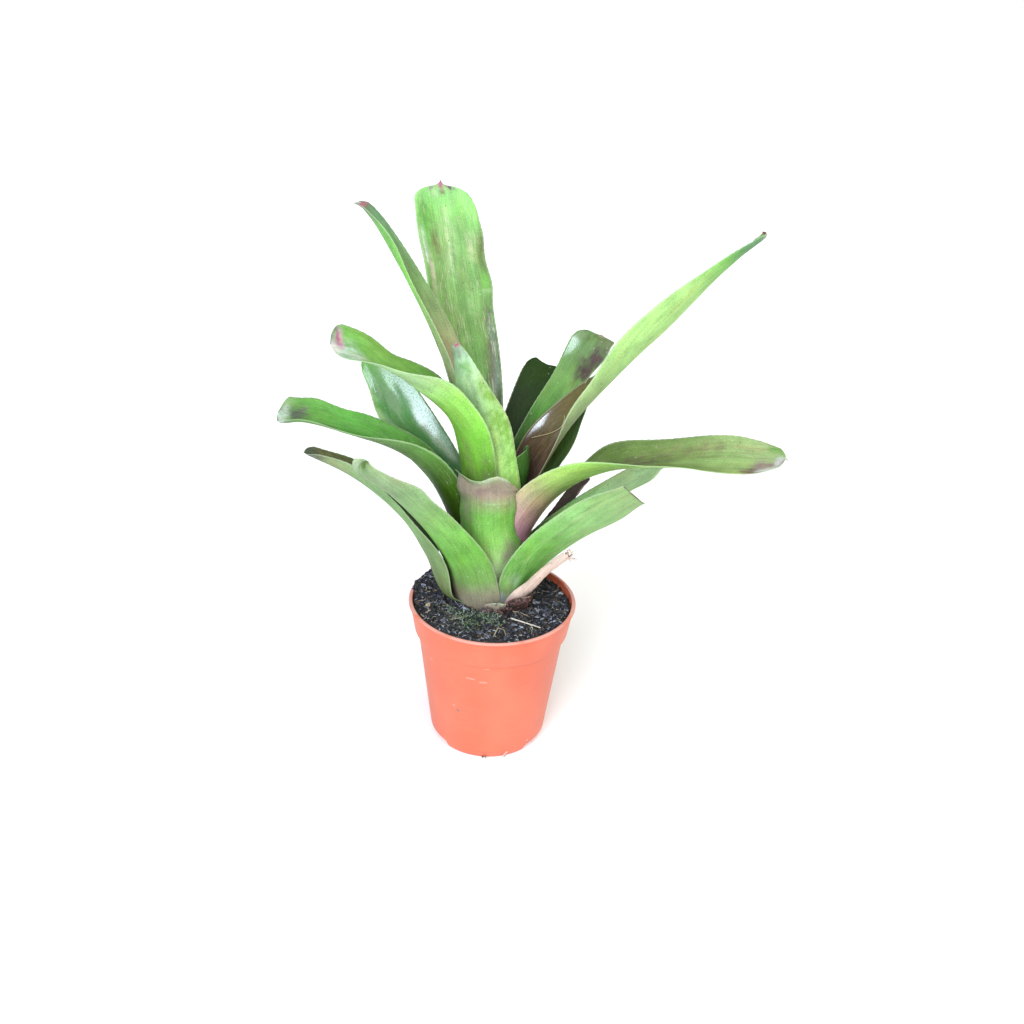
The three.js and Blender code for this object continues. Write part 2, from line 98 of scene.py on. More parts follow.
# Rubs, scratches and specks on the pot: place, half the length, length to height, tone.
POT_MARKS = [
    ((-41.0, -32.0, 78.5), 2.2, 3.0, (252, 158, 136)), ((-0.7, -53.0, 87.0), 2.4, 5.0, (252, 166, 144)),
    ((-12.0, -50.0, 76.5), 3.6, 4.0, (252, 158, 134)), ((-3.0, -51.5, 74.5), 3.2, 3.0, (252, 160, 136)),
    ((-20.3, -43.0, 43.4), 1.6, 1.2, (150, 116, 108)), ((-23.3, -42.0, 47.0), 1.4, 1.6, (252, 156, 134)),
    ((-36.5, -24.4, 14.2), 0.4, 1.0, (160, 84, 66)), ((-21.4, -36.2, 3.6), 0.6, 1.0, (150, 74, 56)),
    ((30.6, -30.8, 9.7), 0.6, 1.0, (255, 236, 228)),
]


def linear(colour):
    """A display colour as linear light, scaled to the surface's own share."""
    c = np.array(COLOURS[colour] if isinstance(colour, str) else colour, float) / 255
    return np.where(c <= 0.04045, c / 12.92, ((c + 0.055) / 1.055) ** 2.4) * ALBEDO


# ---- leaves ----
# heading: the leaf's compass direction, anticlockwise from +X.
# ring and foot: its sheath's radius and width on the stem.
# tip: how far from its end the blade narrows, with a value for each margin where they differ.
# wave: height, length and start of the margins' waves.
# stations: (reach, side, height, width, cup, roll) along the midrib; cup is the channel's half-angle, and
# WRAP bends a sheath round the plant's axis.
# end: (across, length) pairs of an uneven end, which fade out over end_reach.
# edges: (margin, place, reach, size) of what a margin gains. Places here and below count back from the tip.
# folds: (across, spread, place, reach, size) of ridges and dents.
# curls: (length, turn, across, spread) of a rolled tip.
# upper and under: colours at shares of the length. On some thin leaves the bright under colours paint the
# glow of light through the blade.
# patches: (share, across, reach, spread, face, colour, strength).
# scurf: how scaly the blade is. gloss: how waxy it is at shine's share of the length, and within its reach.
WRAP = None


class Leaf:
    """One leaf's form and colouring."""

    def __init__(self, name, heading, ring, foot, tip, wave, stations, end=(), end_reach=40.0, edges=(),
                 folds=(), curls=(), upper=(), under=(), patches=(), scurf=0.3, gloss=0.12, shine=(0.5, 9.0)):
        base = STEM_TOP[1] + (STEM_RIM[1] - STEM_TOP[1]) * (ring - STEM_TOP[0]) / (STEM_RIM[0] - STEM_TOP[0])
        self.name, self.heading, self.wave = name, math.radians(heading), wave
        self.stations = [(ring, 0, base + SEAT, foot, WRAP, 0), *stations]
        self.tip = tip if isinstance(tip, tuple) else (tip, tip)
        self.end, self.end_reach = end, end_reach
        self.edges, self.folds, self.curls = edges, folds, curls
        self.upper, self.under, self.patches = upper, under, patches
        self.scurf, self.gloss, self.shine = scurf, gloss, shine
        self.dry = "withered" in name or "scale" in name


LEAVES = [
    Leaf("leaf_tall_back", 118, 12.7, 24, (20, 12), (0.8, 70, 0.2),
         [(14, 0, 40, 28, WRAP, 0), (18, 0, 85, 32, 52, 0), (29, 0, 125, 38, 45, 0),
          (48, 0, 165, 43, 32, 0), (73, 0, 216, 48, 22, 0), (99, 0, 276, 46, 12, 0)],
         edges=((-1, 38, 9, 1.2), (-1, 72, 11, 2.2), (-1, 120, 35, 2.0), (1, 52, 16, -1.8),
          (-1, 14, 6, -1.0)), end=((-1, 0), (-0.5, 0.4), (0, 3.4), (0.5, 0.4), (1, 0)), end_reach=9,
         upper=((0, "moss"), (0.3, (106, 134, 62)), (0.5, (100, 152, 66)), (0.7, (118, 170, 84)),
          (0.86, (132, 188, 102)), (0.93, (144, 220, 112)), (1, (158, 238, 136))),
         under=((0, "olive"), (0.5, "sage"), (1, "pale")),
         patches=[(1.0, 0.0, 0.018, 0.5, "both", (186, 96, 136), 1.2),
          (0.976, -0.02, 0.005, 0.16, "upper", "umber", 0.6),
          (0.975, 0.3, 0.012, 0.14, "upper", "cream", 0.7),
          (0.99, -0.5, 0.012, 0.35, "upper", "slate", 0.9), (0.99, 0.5, 0.01, 0.3, "upper", "ash", 0.7),
          (0.92, 0.75, 0.06, 0.3, "upper", (104, 176, 72), 0.8),
          (0.87, 0.45, 0.05, 0.16, "upper", (118, 132, 70), 0.8),
          (0.77, 0.45, 0.06, 0.2, "upper", "olive", 0.5),
          (0.86, 0.02, 0.1, 0.2, "upper", (206, 232, 176), 0.55),
          (0.84, -0.6, 0.05, 0.14, "upper", (188, 206, 150), 0.6),
          (0.83, -0.93, 0.06, 0.16, "upper", (104, 124, 62), 0.9),
          (0.76, -0.85, 0.03, 0.16, "upper", (128, 206, 80), 0.6),
          (0.735, -0.8, 0.004, 0.2, "upper", "cream", 0.5), (0.66, 0.2, 0.08, 0.25, "upper", "olive", 0.5),
          (0.6, -0.8, 0.12, 0.24, "upper", (98, 134, 60), 0.9),
          (0.5, -0.85, 0.16, 0.2, "upper", "umber", 0.9),
          (0.42, -0.6, 0.14, 0.3, "upper", (84, 104, 54), 0.8),
          (0.72, -0.36, 0.06, 0.18, "upper", (180, 226, 150), 0.35),
          (0.55, -0.97, 0.13, 0.16, "upper", (70, 104, 50), 1.3),
          (0.855, 0.85, 0.04, 0.07, "upper", "white", 0.9),
          (0.79, 0.74, 0.045, 0.08, "upper", "scurf", 0.9), (0.7, 0.75, 0.05, 0.12, "upper", "scurf", 0.5)],
         scurf=1.0),
    Leaf("leaf_tall_left", 172, 11, 26, 10, (0.8, 80, 0),
         [(11, 0, 40, 30, WRAP, 0), (11, 0, 85, 32, 75, 0), (17, 0, 125, 41, 60, 0),
          (31, 0, 165, 39, 52, 0), (52, 0, 212, 28, 56, 0), (78, 0, 257, 20, 48, 0),
          (94, 0, 277, 12, 40, 0)], curls=((8, -60, 0, 3),), edges=((1, 32, 15, 3.5), (-1, 100, 25, 1.5)),
         upper=((0, "moss"), (0.4, (120, 134, 84)), (0.52, (172, 164, 128)), (0.62, (176, 178, 128)),
          (0.7, (160, 188, 124)), (0.78, (122, 166, 92)), (0.95, (110, 160, 110)), (1, "slate")),
         under=((0, "sage"), (0.4, (190, 174, 130)), (0.62, (178, 196, 140)), (0.8, (150, 224, 100)),
          (0.92, (130, 200, 100)), (1, "ash")),
         patches=[(0.982, 0.0, 0.007, 1.0, "both", (190, 104, 126), 1.0),
          (1.0, 0.0, 0.01, 1.0, "both", "white", 1.3),
          (0.5, 0.1, 0.12, 0.8, "both", (172, 152, 134), 0.6)]),
    # Its pale under colours are partly the leaf's own and partly a painted glow of light shining through the
    # blade.
    Leaf("leaf_inner_front", 246, 14.4, 32, 12, (0.8, 50, 0),
         [(15.5, 1, 40, 38, WRAP, 0), (17.5, 5, 80, 47, 76, 0), (20, 4, 112, 44, 64, 0),
          (24, -3, 145, 42, 50, 0), (31, -7, 174, 22, 42, 0), (36, -15, 201, 7, 35, 0)],
         curls=((6, 160, 0, 3),), upper=((0, "moss"), (0.6, "green"), (1, "olive")),
         under=((0, "sage"), (0.45, (190, 250, 132)), (0.68, (200, 252, 156)), (0.85, (206, 244, 180)),
          (0.93, (196, 236, 190)), (0.98, (150, 186, 150)), (1, "ash")),
         patches=[(0.8, 0.1, 0.12, 0.3, "under", "mint", 0.5),
          (0.955, 0.0, 0.02, 1.5, "both", (156, 180, 150), 0.9),
          (0.985, 0.2, 0.009, 0.9, "both", (190, 96, 128), 1.2),
          (1.0, -0.3, 0.012, 1.2, "both", "white", 1.4), (0.6, 0.8, 0.2, 0.3, "under", (150, 206, 96), 0.7),
          (0.74, 0.75, 0.14, 0.4, "under", (146, 196, 88), 0.9),
          (0.82, -0.1, 0.07, 0.4, "under", (204, 242, 176), 0.7),
          (0.9, 0.2, 0.03, 0.6, "under", (146, 200, 124), 0.9),
          (0.77, 0.35, 0.05, 0.2, "under", (196, 240, 164), 0.6),
          (0.62, -0.2, 0.09, 0.4, "under", (184, 230, 140), 0.6)]),
    # Its bright yellow-green under colours are partly its own and partly a painted glow of light shining
    # through the blade.
    Leaf("leaf_upper_left", 212, 17.8, 34, (13, 18), (1.2, 60, 0.5),
         [(19.5, 1, 40, 42, WRAP, 0), (22, 3, 80, 49, 70, 0), (26, 4, 115, 52, 62, 0),
          (34, 1, 143, 54, 58, 0), (57, -5, 167, 54, 54, -2), (85, -10, 189, 44, 34, -15),
          (112, -13, 201, 42, 28, -24)], edges=((-1, 44, 14, -5.0), (-1, 82, 20, 5.0), (1, 64, 28, 4.0)),
         upper=((0, "moss"), (0.5, "grass"), (0.8, (140, 200, 92)), (0.95, "fresh"), (1, "mint")),
         under=((0, "sage"), (0.3, "olive"), (0.44, (112, 170, 48)), (0.55, (140, 220, 72)),
          (0.66, (176, 246, 112)), (0.78, (210, 255, 180)), (1, "mint")),
         patches=[(0.95, 0.4, 0.04, 0.7, "upper", (206, 236, 210), 1.2),
          (1.0, 0.2, 0.024, 1.0, "both", "white", 1.3),
          (0.97, -0.4, 0.014, 0.42, "both", (228, 172, 200), 1.3),
          (0.974, -0.42, 0.007, 0.24, "both", (186, 78, 124), 1.2),
          (0.99, -0.8, 0.02, 0.3, "both", "slate", 0.9), (0.36, 0.85, 0.12, 0.3, "under", "mauve", 0.5),
          (0.48, 0.2, 0.1, 0.3, "under", "bronze", 0.4), (0.34, 0.9, 0.1, 0.35, "under", "umber", 0.6),
          (0.3, 0.0, 0.08, 0.8, "under", (84, 112, 36), 0.7)]),
    Leaf("leaf_back_left", 142, 22.7, 30, 20, (0.2, 70, 0.3),
         [(24.6, 0, 30, 32, WRAP, 0), (32.5, 0, 58, 36, 50, -4), (50, 2, 84, 39, 40, -14),
          (79, 6, 113, 43, 35, -28), (105, 7, 139, 38, 32, -32), (125, 6, 156, 28, 32, -26)],
         edges=((1, 20, 26, -11.0), (1, 60, 26, -3.0), (1, 112, 34, -11.0)),
         upper=((0, "deep"), (0.3, (60, 116, 52)), (0.6, (70, 140, 66)), (0.85, (84, 150, 72)),
          (1, "green")), under=((0, "olive"), (0.5, "sage"), (1, "pale")),
         patches=[(0.6, 0.95, 0.5, 0.25, "upper", "bright", 0.6),
          (0.35, 0.0, 0.15, 0.6, "upper", (70, 128, 96), 0.5)], gloss=0.8, shine=(0.62, 0.28)),
    # The dark olive low part of its under colours is partly its own colour and partly painted shade.
    Leaf("leaf_low_left", 181, 21, 34, (5, 8), (1, 60, 0.1),
         [(23, 0, 28, 36, WRAP, 0), (29, -1, 60, 50, 66, 12), (50, -2, 99, 51, 72, 20),
          (92, -2, 123, 40, 42, 0), (147, 0, 137, 37, 34, 0)],
         edges=((-1, 21, 10, 3.0), (-1, 44, 10, -1.5)), folds=((0.7, 0.6, 3, 10, -4.0),),
         upper=((0, "dark"), (0.3, "moss"), (0.55, "green"), (0.8, (108, 192, 76)), (0.94, "green"),
          (1, "sage")),
         under=((0, "deep"), (0.3, (58, 86, 4)), (0.42, (74, 118, 10)), (0.52, (124, 180, 84)),
          (0.7, (176, 226, 142)), (0.93, "green"), (1, "ash")),
         patches=[(0.935, -0.15, 0.028, 0.5, "upper", (98, 110, 92), 1.3),
          (0.985, 0.4, 0.02, 0.9, "both", (206, 226, 208), 1.3),
          (0.86, 0.5, 0.07, 0.25, "upper", "slate", 0.8), (0.3, 0.0, 0.14, 0.8, "upper", "dark", 0.7)],
         scurf=0.45),
    Leaf("leaf_lowest_left", 196, 24.3, 36, 10, (1, 50, 0.4),
         [(37, -1, 11, 44, WRAP, 0), (47, -1, 38, 45, 58, 0), (65, 0, 71, 43, 52, 0),
          (96, 0, 102, 38, 55, 10), (129, 0, 123, 20, 50, 10)], edges=((1, 78, 28, -4.5),),
         upper=((0, "dark"), (0.5, (72, 90, 40)), (0.9, (112, 112, 76)), (1, "slate")),
         under=((0, "olive"), (0.25, (128, 160, 100)), (0.6, (140, 184, 116)), (0.9, (150, 176, 124)),
          (1, "slate")),
         patches=[(0.97, 0.0, 0.05, 1.0, "both", "slate", 0.8),
          (0.8, 0.0, 0.06, 0.3, "under", (206, 206, 190), 0.7),
          (0.15, 0.5, 0.12, 0.6, "under", "bronze", 0.4)]),
    Leaf("leaf_front_left", 235, 26.2, 48, 10, (1, 55, 0.7),
         [(30, 0, 14, 54, WRAP, 0), (37, -4, 40, 54, 60, 0), (55, -11, 72, 47, 50, 0),
          (78, -19, 101, 43, 45, 0), (98, -26, 120, 32, 45, 0), (112, -32, 134, 20, 60, 0)],
         edges=((1, 44, 10, 2.5), (-1, 160, 32, -4.5)), curls=((15, 200, 0, 3),),
         upper=((0, "dark"), (0.5, "deep"), (1, "slate")),
         under=((0, "blush"), (0.1, (164, 158, 130)), (0.17, (130, 174, 92)), (0.3, (124, 196, 80)),
          (0.45, (136, 204, 94)), (0.65, (148, 192, 120)), (0.85, (154, 184, 134)), (1, "sage")),
         patches=[(0.12, -0.75, 0.1, 0.35, "under", "mauve", 0.8),
          (0.95, -0.7, 0.03, 0.6, "under", "cream", 1.0), (0.96, 0.6, 0.03, 0.6, "both", "moss", 0.8),
          (0.5, -0.8, 0.2, 0.3, "under", "blush", 0.5)]),
    Leaf("leaf_front", 262, 22.6, 36, 0, (1.2, 22, 0),
         [(24, 0, 30, 40, WRAP, 0), (28, 0, 65, 43, 53, 0), (32, 0, 97, 44, 45, 0),
          (41, 0, 113, 43, 38, 0)],
         end=((-1, -2), (-0.7, -3.5), (-0.4, -5.5), (-0.1, -4.5), (0.2, 0.5), (0.45, 1.5), (0.7, -4),
          (0.9, -13), (1, -20)), end_reach=22, edges=((1, 66, 11, 8.0),),
         upper=((0, "moss"), (0.7, "bronze"), (0.85, "mauve"), (1, "umber")),
         under=((0, "pale"), (0.12, (212, 240, 192)), (0.3, (186, 230, 140)), (0.5, (146, 212, 98)),
          (0.68, (130, 200, 86)), (0.76, (154, 176, 112)), (0.83, (184, 168, 144)), (0.95, (190, 182, 152)),
          (1, "pale")),
         patches=[(0.87, 0.0, 0.06, 0.9, "under", "mauve", 0.5),
          (1.0, 0.45, 0.03, 0.6, "both", "cream", 1.0), (0.775, 0.3, 0.005, 0.5, "under", "pale", 0.5),
          (0.7, -0.6, 0.12, 0.3, "under", "blush", 0.4), (0.35, 0.6, 0.2, 0.25, "under", "blush", 0.6),
          (0.25, -0.1, 0.2, 0.3, "under", "lime", 0.5),
          (0.3, 0.25, 0.09, 0.4, "under", (214, 242, 190), 0.6)]),
    # Its lime under colours are partly its own and partly a painted glow of light shining through the blade.
    Leaf("leaf_long_right", 16, 16.1, 30, 8, (1, 80, 0),
         [(18, 0, 40, 34, WRAP, 0), (23, 0, 70, 38, 58, 4), (33, 0, 103, 40, 54, 8),
          (52, 0, 132, 42, 50, -4), (80, 0, 161, 47, 50, -24), (118, 0, 201, 41, 45, -48),
          (153, 0, 236, 25, 42, -40), (184, 0, 261, 12, 35, -10)],
         edges=((-1, 132, 28, 6.0), (-1, 176, 18, 5.0), (1, 205, 30, 2.5), (1, 134, 16, -4.0)),
         curls=((6, 150, 0, 3),),
         upper=((0, "plum"), (0.25, "plum"), (0.36, (98, 72, 42)), (0.44, (108, 92, 46)),
          (0.54, (116, 108, 58)), (0.62, "grass"), (1, "green")),
         under=((0, "olive"), (0.25, "deep"), (0.34, "bronze"), (0.45, (172, 196, 136)), (0.6, "lime"),
          (0.8, "lime"), (0.89, (140, 208, 104)), (0.94, (104, 160, 104)), (1, (130, 180, 130))),
         patches=[(1.0, 0.0, 0.01, 1.9, "both", (180, 84, 104), 1.2),
          (0.98, 0.0, 0.007, 1.2, "both", "cream", 1.0)], gloss=0.9, shine=(0.4, 0.05)),
    Leaf("leaf_back_right", 45, 17.8, 34, (6, 14), (1, 60, 0),
         [(20, 0, 40, 38, WRAP, 0), (28, 0, 80, 40, 60, 0), (46, 0, 112, 38, 45, 0),
          (68, 0, 144, 37, 30, 0), (91, 0, 173, 35, 25, 6), (101, 0, 179, 32, 22, 8)],
         edges=((1, 40, 30, -2.5), (-1, 22, 11, 5.0), (-1, 90, 40, -10.0)),
         upper=((0, "dark"), (0.5, (52, 84, 26)), (0.65, (84, 146, 48)), (0.8, (126, 172, 90)),
          (1, (104, 144, 84))), under=((0, "olive"), (0.5, "sage"), (1, "pale")),
         patches=[(0.87, -0.5, 0.075, 0.5, "upper", "plum", 1.2),
          (0.97, 0.2, 0.03, 0.4, "upper", "moss", 0.8), (0.97, -0.6, 0.03, 0.4, "upper", "bronze", 0.7),
          (0.7, -0.3, 0.06, 0.5, "upper", (146, 190, 122), 0.6),
          (1.0, -0.4, 0.014, 0.9, "both", "blush", 1.0)], gloss=0.5, shine=(0.93, 0.07)),
    # The near-black greens are partly the leaf's own dark colour and partly painted shade.
    Leaf("leaf_back", 68, 19.4, 22, 0, (1, 60, 0.6),
         [(22, 0, 35, 26, WRAP, 0), (28, 0, 70, 32, 45, 0), (46, 0, 106, 33, 36, 0),
          (72, 0, 136, 32, 28, 0), (97, 2, 152, 28, 20, 0)],
         end=((-1, -10), (-0.6, -6), (-0.1, -5), (0.3, -2.5), (0.6, 0), (0.8, -1.5), (1, -6)), end_reach=18,
         gloss=0.0, upper=((0, (18, 30, 2)), (0.6, (24, 46, 2)), (1, (38, 68, 8))),
         under=((0, "olive"), (1, "sage")), scurf=0.0),
    # Its bright under colours partly paint the glow of light through the blade, and its pink base is
    # lightened as painted light against the shade it stands in.
    Leaf("leaf_long_low_right", 340, 21, 34, (12, 6), (1.2, 70, 0.2),
         [(23, 0, 28, 42, WRAP, 0), (28, -1, 60, 54, 66, -14), (48, 2, 93, 54, 52, -22),
          (88, 8, 118, 45, 44, -4), (144, 16, 132, 37, 30, 20), (172, 20, 135, 33, 26, 20),
          (192, 23, 137, 22, 26, 10)], edges=((1, 122, 26, 6.0), (-1, 115, 25, 3.0), (-1, 30, 14, -2.0)),
         curls=((7, 70, -1, 1.2),),
         upper=((0, "plum"), (0.14, (244, 176, 204)), (0.2, (240, 172, 198)), (0.3, "umber"),
          (0.38, "moss"), (0.5, (106, 132, 62)), (0.66, (116, 144, 74)), (0.8, (140, 172, 98)),
          (0.9, (158, 190, 116)), (1, (176, 190, 140))),
         under=((0, "plum"), (0.14, (216, 150, 174)), (0.22, (228, 158, 180)), (0.3, (216, 178, 164)),
          (0.36, (208, 204, 148)), (0.41, (186, 222, 120)), (0.5, (190, 250, 116)), (1, "pale")),
         patches=[(0.2, -0.3, 0.05, 0.5, "under", "pink", 0.8),
          (0.62, 0.1, 0.14, 0.35, "upper", "plum", 0.55), (0.8, 0.5, 0.15, 0.4, "upper", "bronze", 0.5),
          (0.915, -0.8, 0.03, 0.3, "both", (116, 90, 80), 1.2),
          (0.945, -0.55, 0.028, 0.5, "both", (158, 132, 130), 1.0),
          (0.955, -0.85, 0.03, 0.2, "both", "white", 1.4),
          (0.985, -0.4, 0.016, 0.8, "both", (226, 222, 222), 1.4),
          (0.97, 0.7, 0.03, 0.6, "upper", "green", 0.7)]),
    # Both faces are lightened towards white-green: painted light where the shadow of leaf_long_low_right
    # falls, over the leaf's own pale green.
    Leaf("leaf_low_right", 5, 24.3, 40, (36, 5), (1, 60, 0),
         [(27, 0, 14, 44, WRAP, 0), (36, 0, 34, 42, 60, 0), (56, 0, 56, 40, 48, 0), (90, 0, 84, 37, 40, 0),
          (120, 0, 105, 27, 30, 0)], edges=((-1, 6, 20, -6.0),),
         upper=((0, "plum"), (0.3, "moss"), (0.5, (170, 236, 140)), (0.75, (222, 255, 200)),
          (1, (206, 244, 196))),
         under=((0, "umber"), (0.3, "moss"), (0.45, (190, 250, 156)), (0.7, (222, 255, 200)),
          (1, (206, 244, 196)))),
    Leaf("leaf_front_right", 328, 27.6, 44, 0, (1, 60, 0),
         [(29, 0, 10, 46, WRAP, 0), (37, 0, 31, 50, 54, -12), (57, 0, 60, 48, 42, -28),
          (84, 0, 88, 46, 34, -35), (109, 0, 112, 40, 14, -32)], end=((-1, 9), (1, -6)),
         edges=((1, 0, 15, -4.0),), upper=((0, "dark"), (0.5, "deep"), (1, "moss")),
         under=((0, "sage"), (0.2, "green"), (0.45, "fresh"), (0.7, (154, 208, 124)), (1, (160, 200, 126))),
         patches=[(1.0, 0.0, 0.006, 2.0, "both", "brown", 0.9),
          (0.15, -0.8, 0.1, 0.3, "under", "olive", 0.6),
          (0.08, -0.3, 0.06, 0.8, "under", (140, 132, 160), 1.0),
          (0.2, -0.6, 0.05, 0.2, "under", "mint", 0.7)], scurf=0.8),
    Leaf("leaf_short_right", 32, 22.6, 24, 14, (1, 50, 0),
         [(25, 0, 30, 26, WRAP, 0), (32, 0, 60, 32, 45, 0), (45, 0, 90, 32, 40, 0), (60, 0, 116, 28, 34, 0),
          (74, 0, 140, 16, 30, 0)], upper=((0, "moss"), (0.6, (96, 140, 50)), (1, (112, 160, 66))),
         under=((0, (70, 104, 36)), (0.5, (110, 156, 62)), (1, "grass"))),
    Leaf("leaf_heart", 350, 8.7, 18, 9, (0, 60, 0),
         [(10, 0, 40, 26, WRAP, 0), (19, 0, 75, 30, 70, 0), (24, 0, 103, 28, 60, 0),
          (23, 0, 121, 26, 50, 0)], edges=((-1, 12, 20, 6.0),), upper=((0, "moss"), (1, "grass")),
         under=((0, "moss"), (0.7, (52, 96, 30)), (1, (72, 124, 48)))),
    Leaf("leaf_withered_back", 38, 26, 20, 6, (1, 30, 0),
         [(30, 0, 12, 22, WRAP, 0), (44, 0, 28, 20, 60, 0), (58, 0, 43, 16, 60, 0), (74, 0, 60, 14, 60, 0),
          (88, 0, 75, 12, 60, 0)], upper=((0, "black"), (1, "plum")),
         under=((0, "black"), (0.5, "plum"), (1, "umber")), scurf=0.0),
    Leaf("withered_stub", 318, 30, 36, 0, (0, 60, 0),
         [(32, 0, 5, 34, 32, 0), (35.5, 0, 13, 26, 70, 0), (42, 0, 23, 18, 125, 0),
          (56, 0, 43, 14.5, 140, 0), (73, 0, 62, 13.5, 130, 0)],
         end=((-1, -2), (-0.5, 2), (-0.1, -1), (0.3, 2.5), (0.6, -1.5), (1, 2)), end_reach=8,
         upper=((0, "black"), (0.2, "brown"), (0.4, "straw"), (1, (255, 226, 210))),
         under=((0, "brown"), (0.08, "umber"), (0.16, "mauve"), (0.26, "straw"), (0.7, "straw"),
          (1, (255, 226, 210))), patches=[(0.1, -0.2, 0.08, 0.5, "under", "black", 0.8)], scurf=0.0),
    Leaf("scale_brown", 312, 30.5, 36, (8, 5), (2.5, 9, 0.3),
         [(35, 0, 5, 34, 40, 0), (40, 0, 13, 27, 50, 0), (45, 0, 21, 15, 60, 0)],
         upper=((0, "black"), (1, "brown")),
         under=((0, "black"), (0.25, "rust"), (0.5, "black"), (0.75, "rust"), (1, "umber")),
         patches=[(0.45, 0.3, 0.14, 0.4, "under", (190, 128, 112), 1.2),
          (0.8, -0.4, 0.15, 0.3, "under", "mauve", 1.0),
          (0.3, -0.6, 0.15, 0.3, "under", (150, 104, 98), 1.0)], scurf=1.0),
    Leaf("scale_grey", 283, 29, 28, (8, 12), (2.5, 8, 0.6),
         [(33, 0, 4, 26, 50, 0), (36, 0, 10, 22, 55, 0), (38, 0, 16, 12, 60, 0)],
         upper=((0, "black"), (1, "mauve")),
         under=((0, "umber"), (0.4, "mauve"), (0.75, "blush"), (1, "cream")),
         patches=[(0.5, -0.3, 0.15, 0.4, "under", "plum", 0.8), (0.3, 0.5, 0.15, 0.3, "under", "ash", 0.7)],
         scurf=0.6),
]


def smooth(x):
    """0 below 0, 1 above 1 and an S-curve between."""
    t = np.clip(x, 0, 1)
    return t * t * (3 - 2 * t)


def unit(v):
    """The vectors, each at length 1."""
    return v / np.linalg.norm(v, axis=-1, keepdims=True)


def bell(x, reach):
    """A hump of height 1 at 0 that fades out over the reach."""
    return np.exp(-((x / reach) ** 2))


def spline(points, t):
    """The Catmull-Rom curve through the points, at parameters t from 0 to 1."""
    p = np.asarray(points, float)
    p = np.vstack([2 * p[0] - p[1], p, 2 * p[-1] - p[-2]])
    x = np.asarray(t) * (len(p) - 3)
    i = np.clip(x.astype(int), 0, len(p) - 4)
    w = (x - i)[:, None]
    a, b, c, d = p[i], p[i + 1], p[i + 2], p[i + 3]
    m, n = (c - a) / 2, (d - b) / 2
    return ((2 * w**3 - 3 * w**2 + 1) * b + (w**3 - 2 * w**2 + w) * m
            + (3 * w**2 - 2 * w**3) * c + (w**3 - w**2) * n)


def ripple(u, s, seed):
    """A soft, uneven swell over the blade, about -1 to 1."""
    starts = np.random.default_rng(seed).uniform(0, 2 * math.pi, len(RIPPLES))
    swell = sum(height * np.sin(s / length + slant * u + start)
                for (height, length, slant), start in zip(RIPPLES, starts))
    return swell / sum(height for height, *_ in RIPPLES)


def leaf_rings(leaf):
    """Places of the blade's rings: curve parameter, length from the foot, and the whole length."""
    fine = np.linspace(0, 1, BLADE["samples"])
    spine = np.array([(r, a, h) for r, a, h, *_ in leaf.stations], float)
    points = spline(spine, fine)
    lengths = np.concatenate([[0], np.cumsum(np.linalg.norm(np.diff(points, axis=0), axis=1))])
    total = lengths[-1]
    dense = total - max(*leaf.tip, TIP["least"])
    rows = np.arange(0, dense, BLADE["step"]), np.arange(dense, total, TIP["step"])
    stops = np.concatenate([*rows, [total]])
    return np.interp(stops, lengths, fine), stops, total


def tip_share(left, length):
    """How wide the blade is, as a share, at a distance left from its tip."""
    if not length:
        return np.ones_like(left)
    f = np.clip(left / length, 0, 1)
    shoulder = np.sqrt(np.maximum(1 - ((1 - f) / TIP["shoulder"]) ** TIP["roundness"], 0))
    return np.minimum(np.maximum(shoulder, TIP["point"] + TIP["rise"] * f), 1)


def leaf_axes(leaf, t):
    """Along the midrib: its points, the ways onward, across and inward, and the blade's width and cup."""
    out = np.array([math.cos(leaf.heading), math.sin(leaf.heading), 0])
    side = np.array([-math.sin(leaf.heading), math.cos(leaf.heading), 0])
    spine = np.array([CROWN + out * r + side * a + np.array([0, 0, h]) for r, a, h, *_ in leaf.stations])
    form = np.array([(w, w / 2 / r if cup is WRAP else math.radians(cup), math.radians(roll))
                     for r, _, _, w, cup, roll in leaf.stations])
    step = 1e-4
    onward = unit(spline(spine, np.minimum(t + step, 1)) - spline(spine, np.maximum(t - step, 0)))
    width, cup, roll = spline(form, t).T
    level = unit(side - onward * (onward @ side)[:, None])
    across = level * np.cos(roll)[:, None] + np.cross(onward, level) * np.sin(roll)[:, None]
    return spline(spine, t), onward, across, np.cross(onward, across), width, cup


def leaf_lift(leaf, seed, u, s, v, left, share):
    """How far the blade stands off its plain channel: ripples or crumples, folds and waved margins."""
    wave_height, wave_length, wave_start = leaf.wave
    if leaf.dry:
        fine = DRY["fineness"]
        lift = np.interp(wave_height, (0, 1), DRY["crumple"]) * ripple(fine * u, fine * s, seed)
    else:
        lift = BLADE["ripple"] * ripple(u, s, seed) * smooth(s / BLADE["calm"])
    for across, spread, place, reach, size in leaf.folds:
        lift = lift + size * bell(v - across, spread) * bell(left - place, reach)
    swell = wave_height * smooth((s - BLADE["wave_from"]) / BLADE["wave_fade"]) * share
    phase = s / wave_length + wave_start + np.where(v < 0, BLADE["wave_lag"], 0)
    return lift + swell * v * v * np.sin(2 * math.pi * phase)


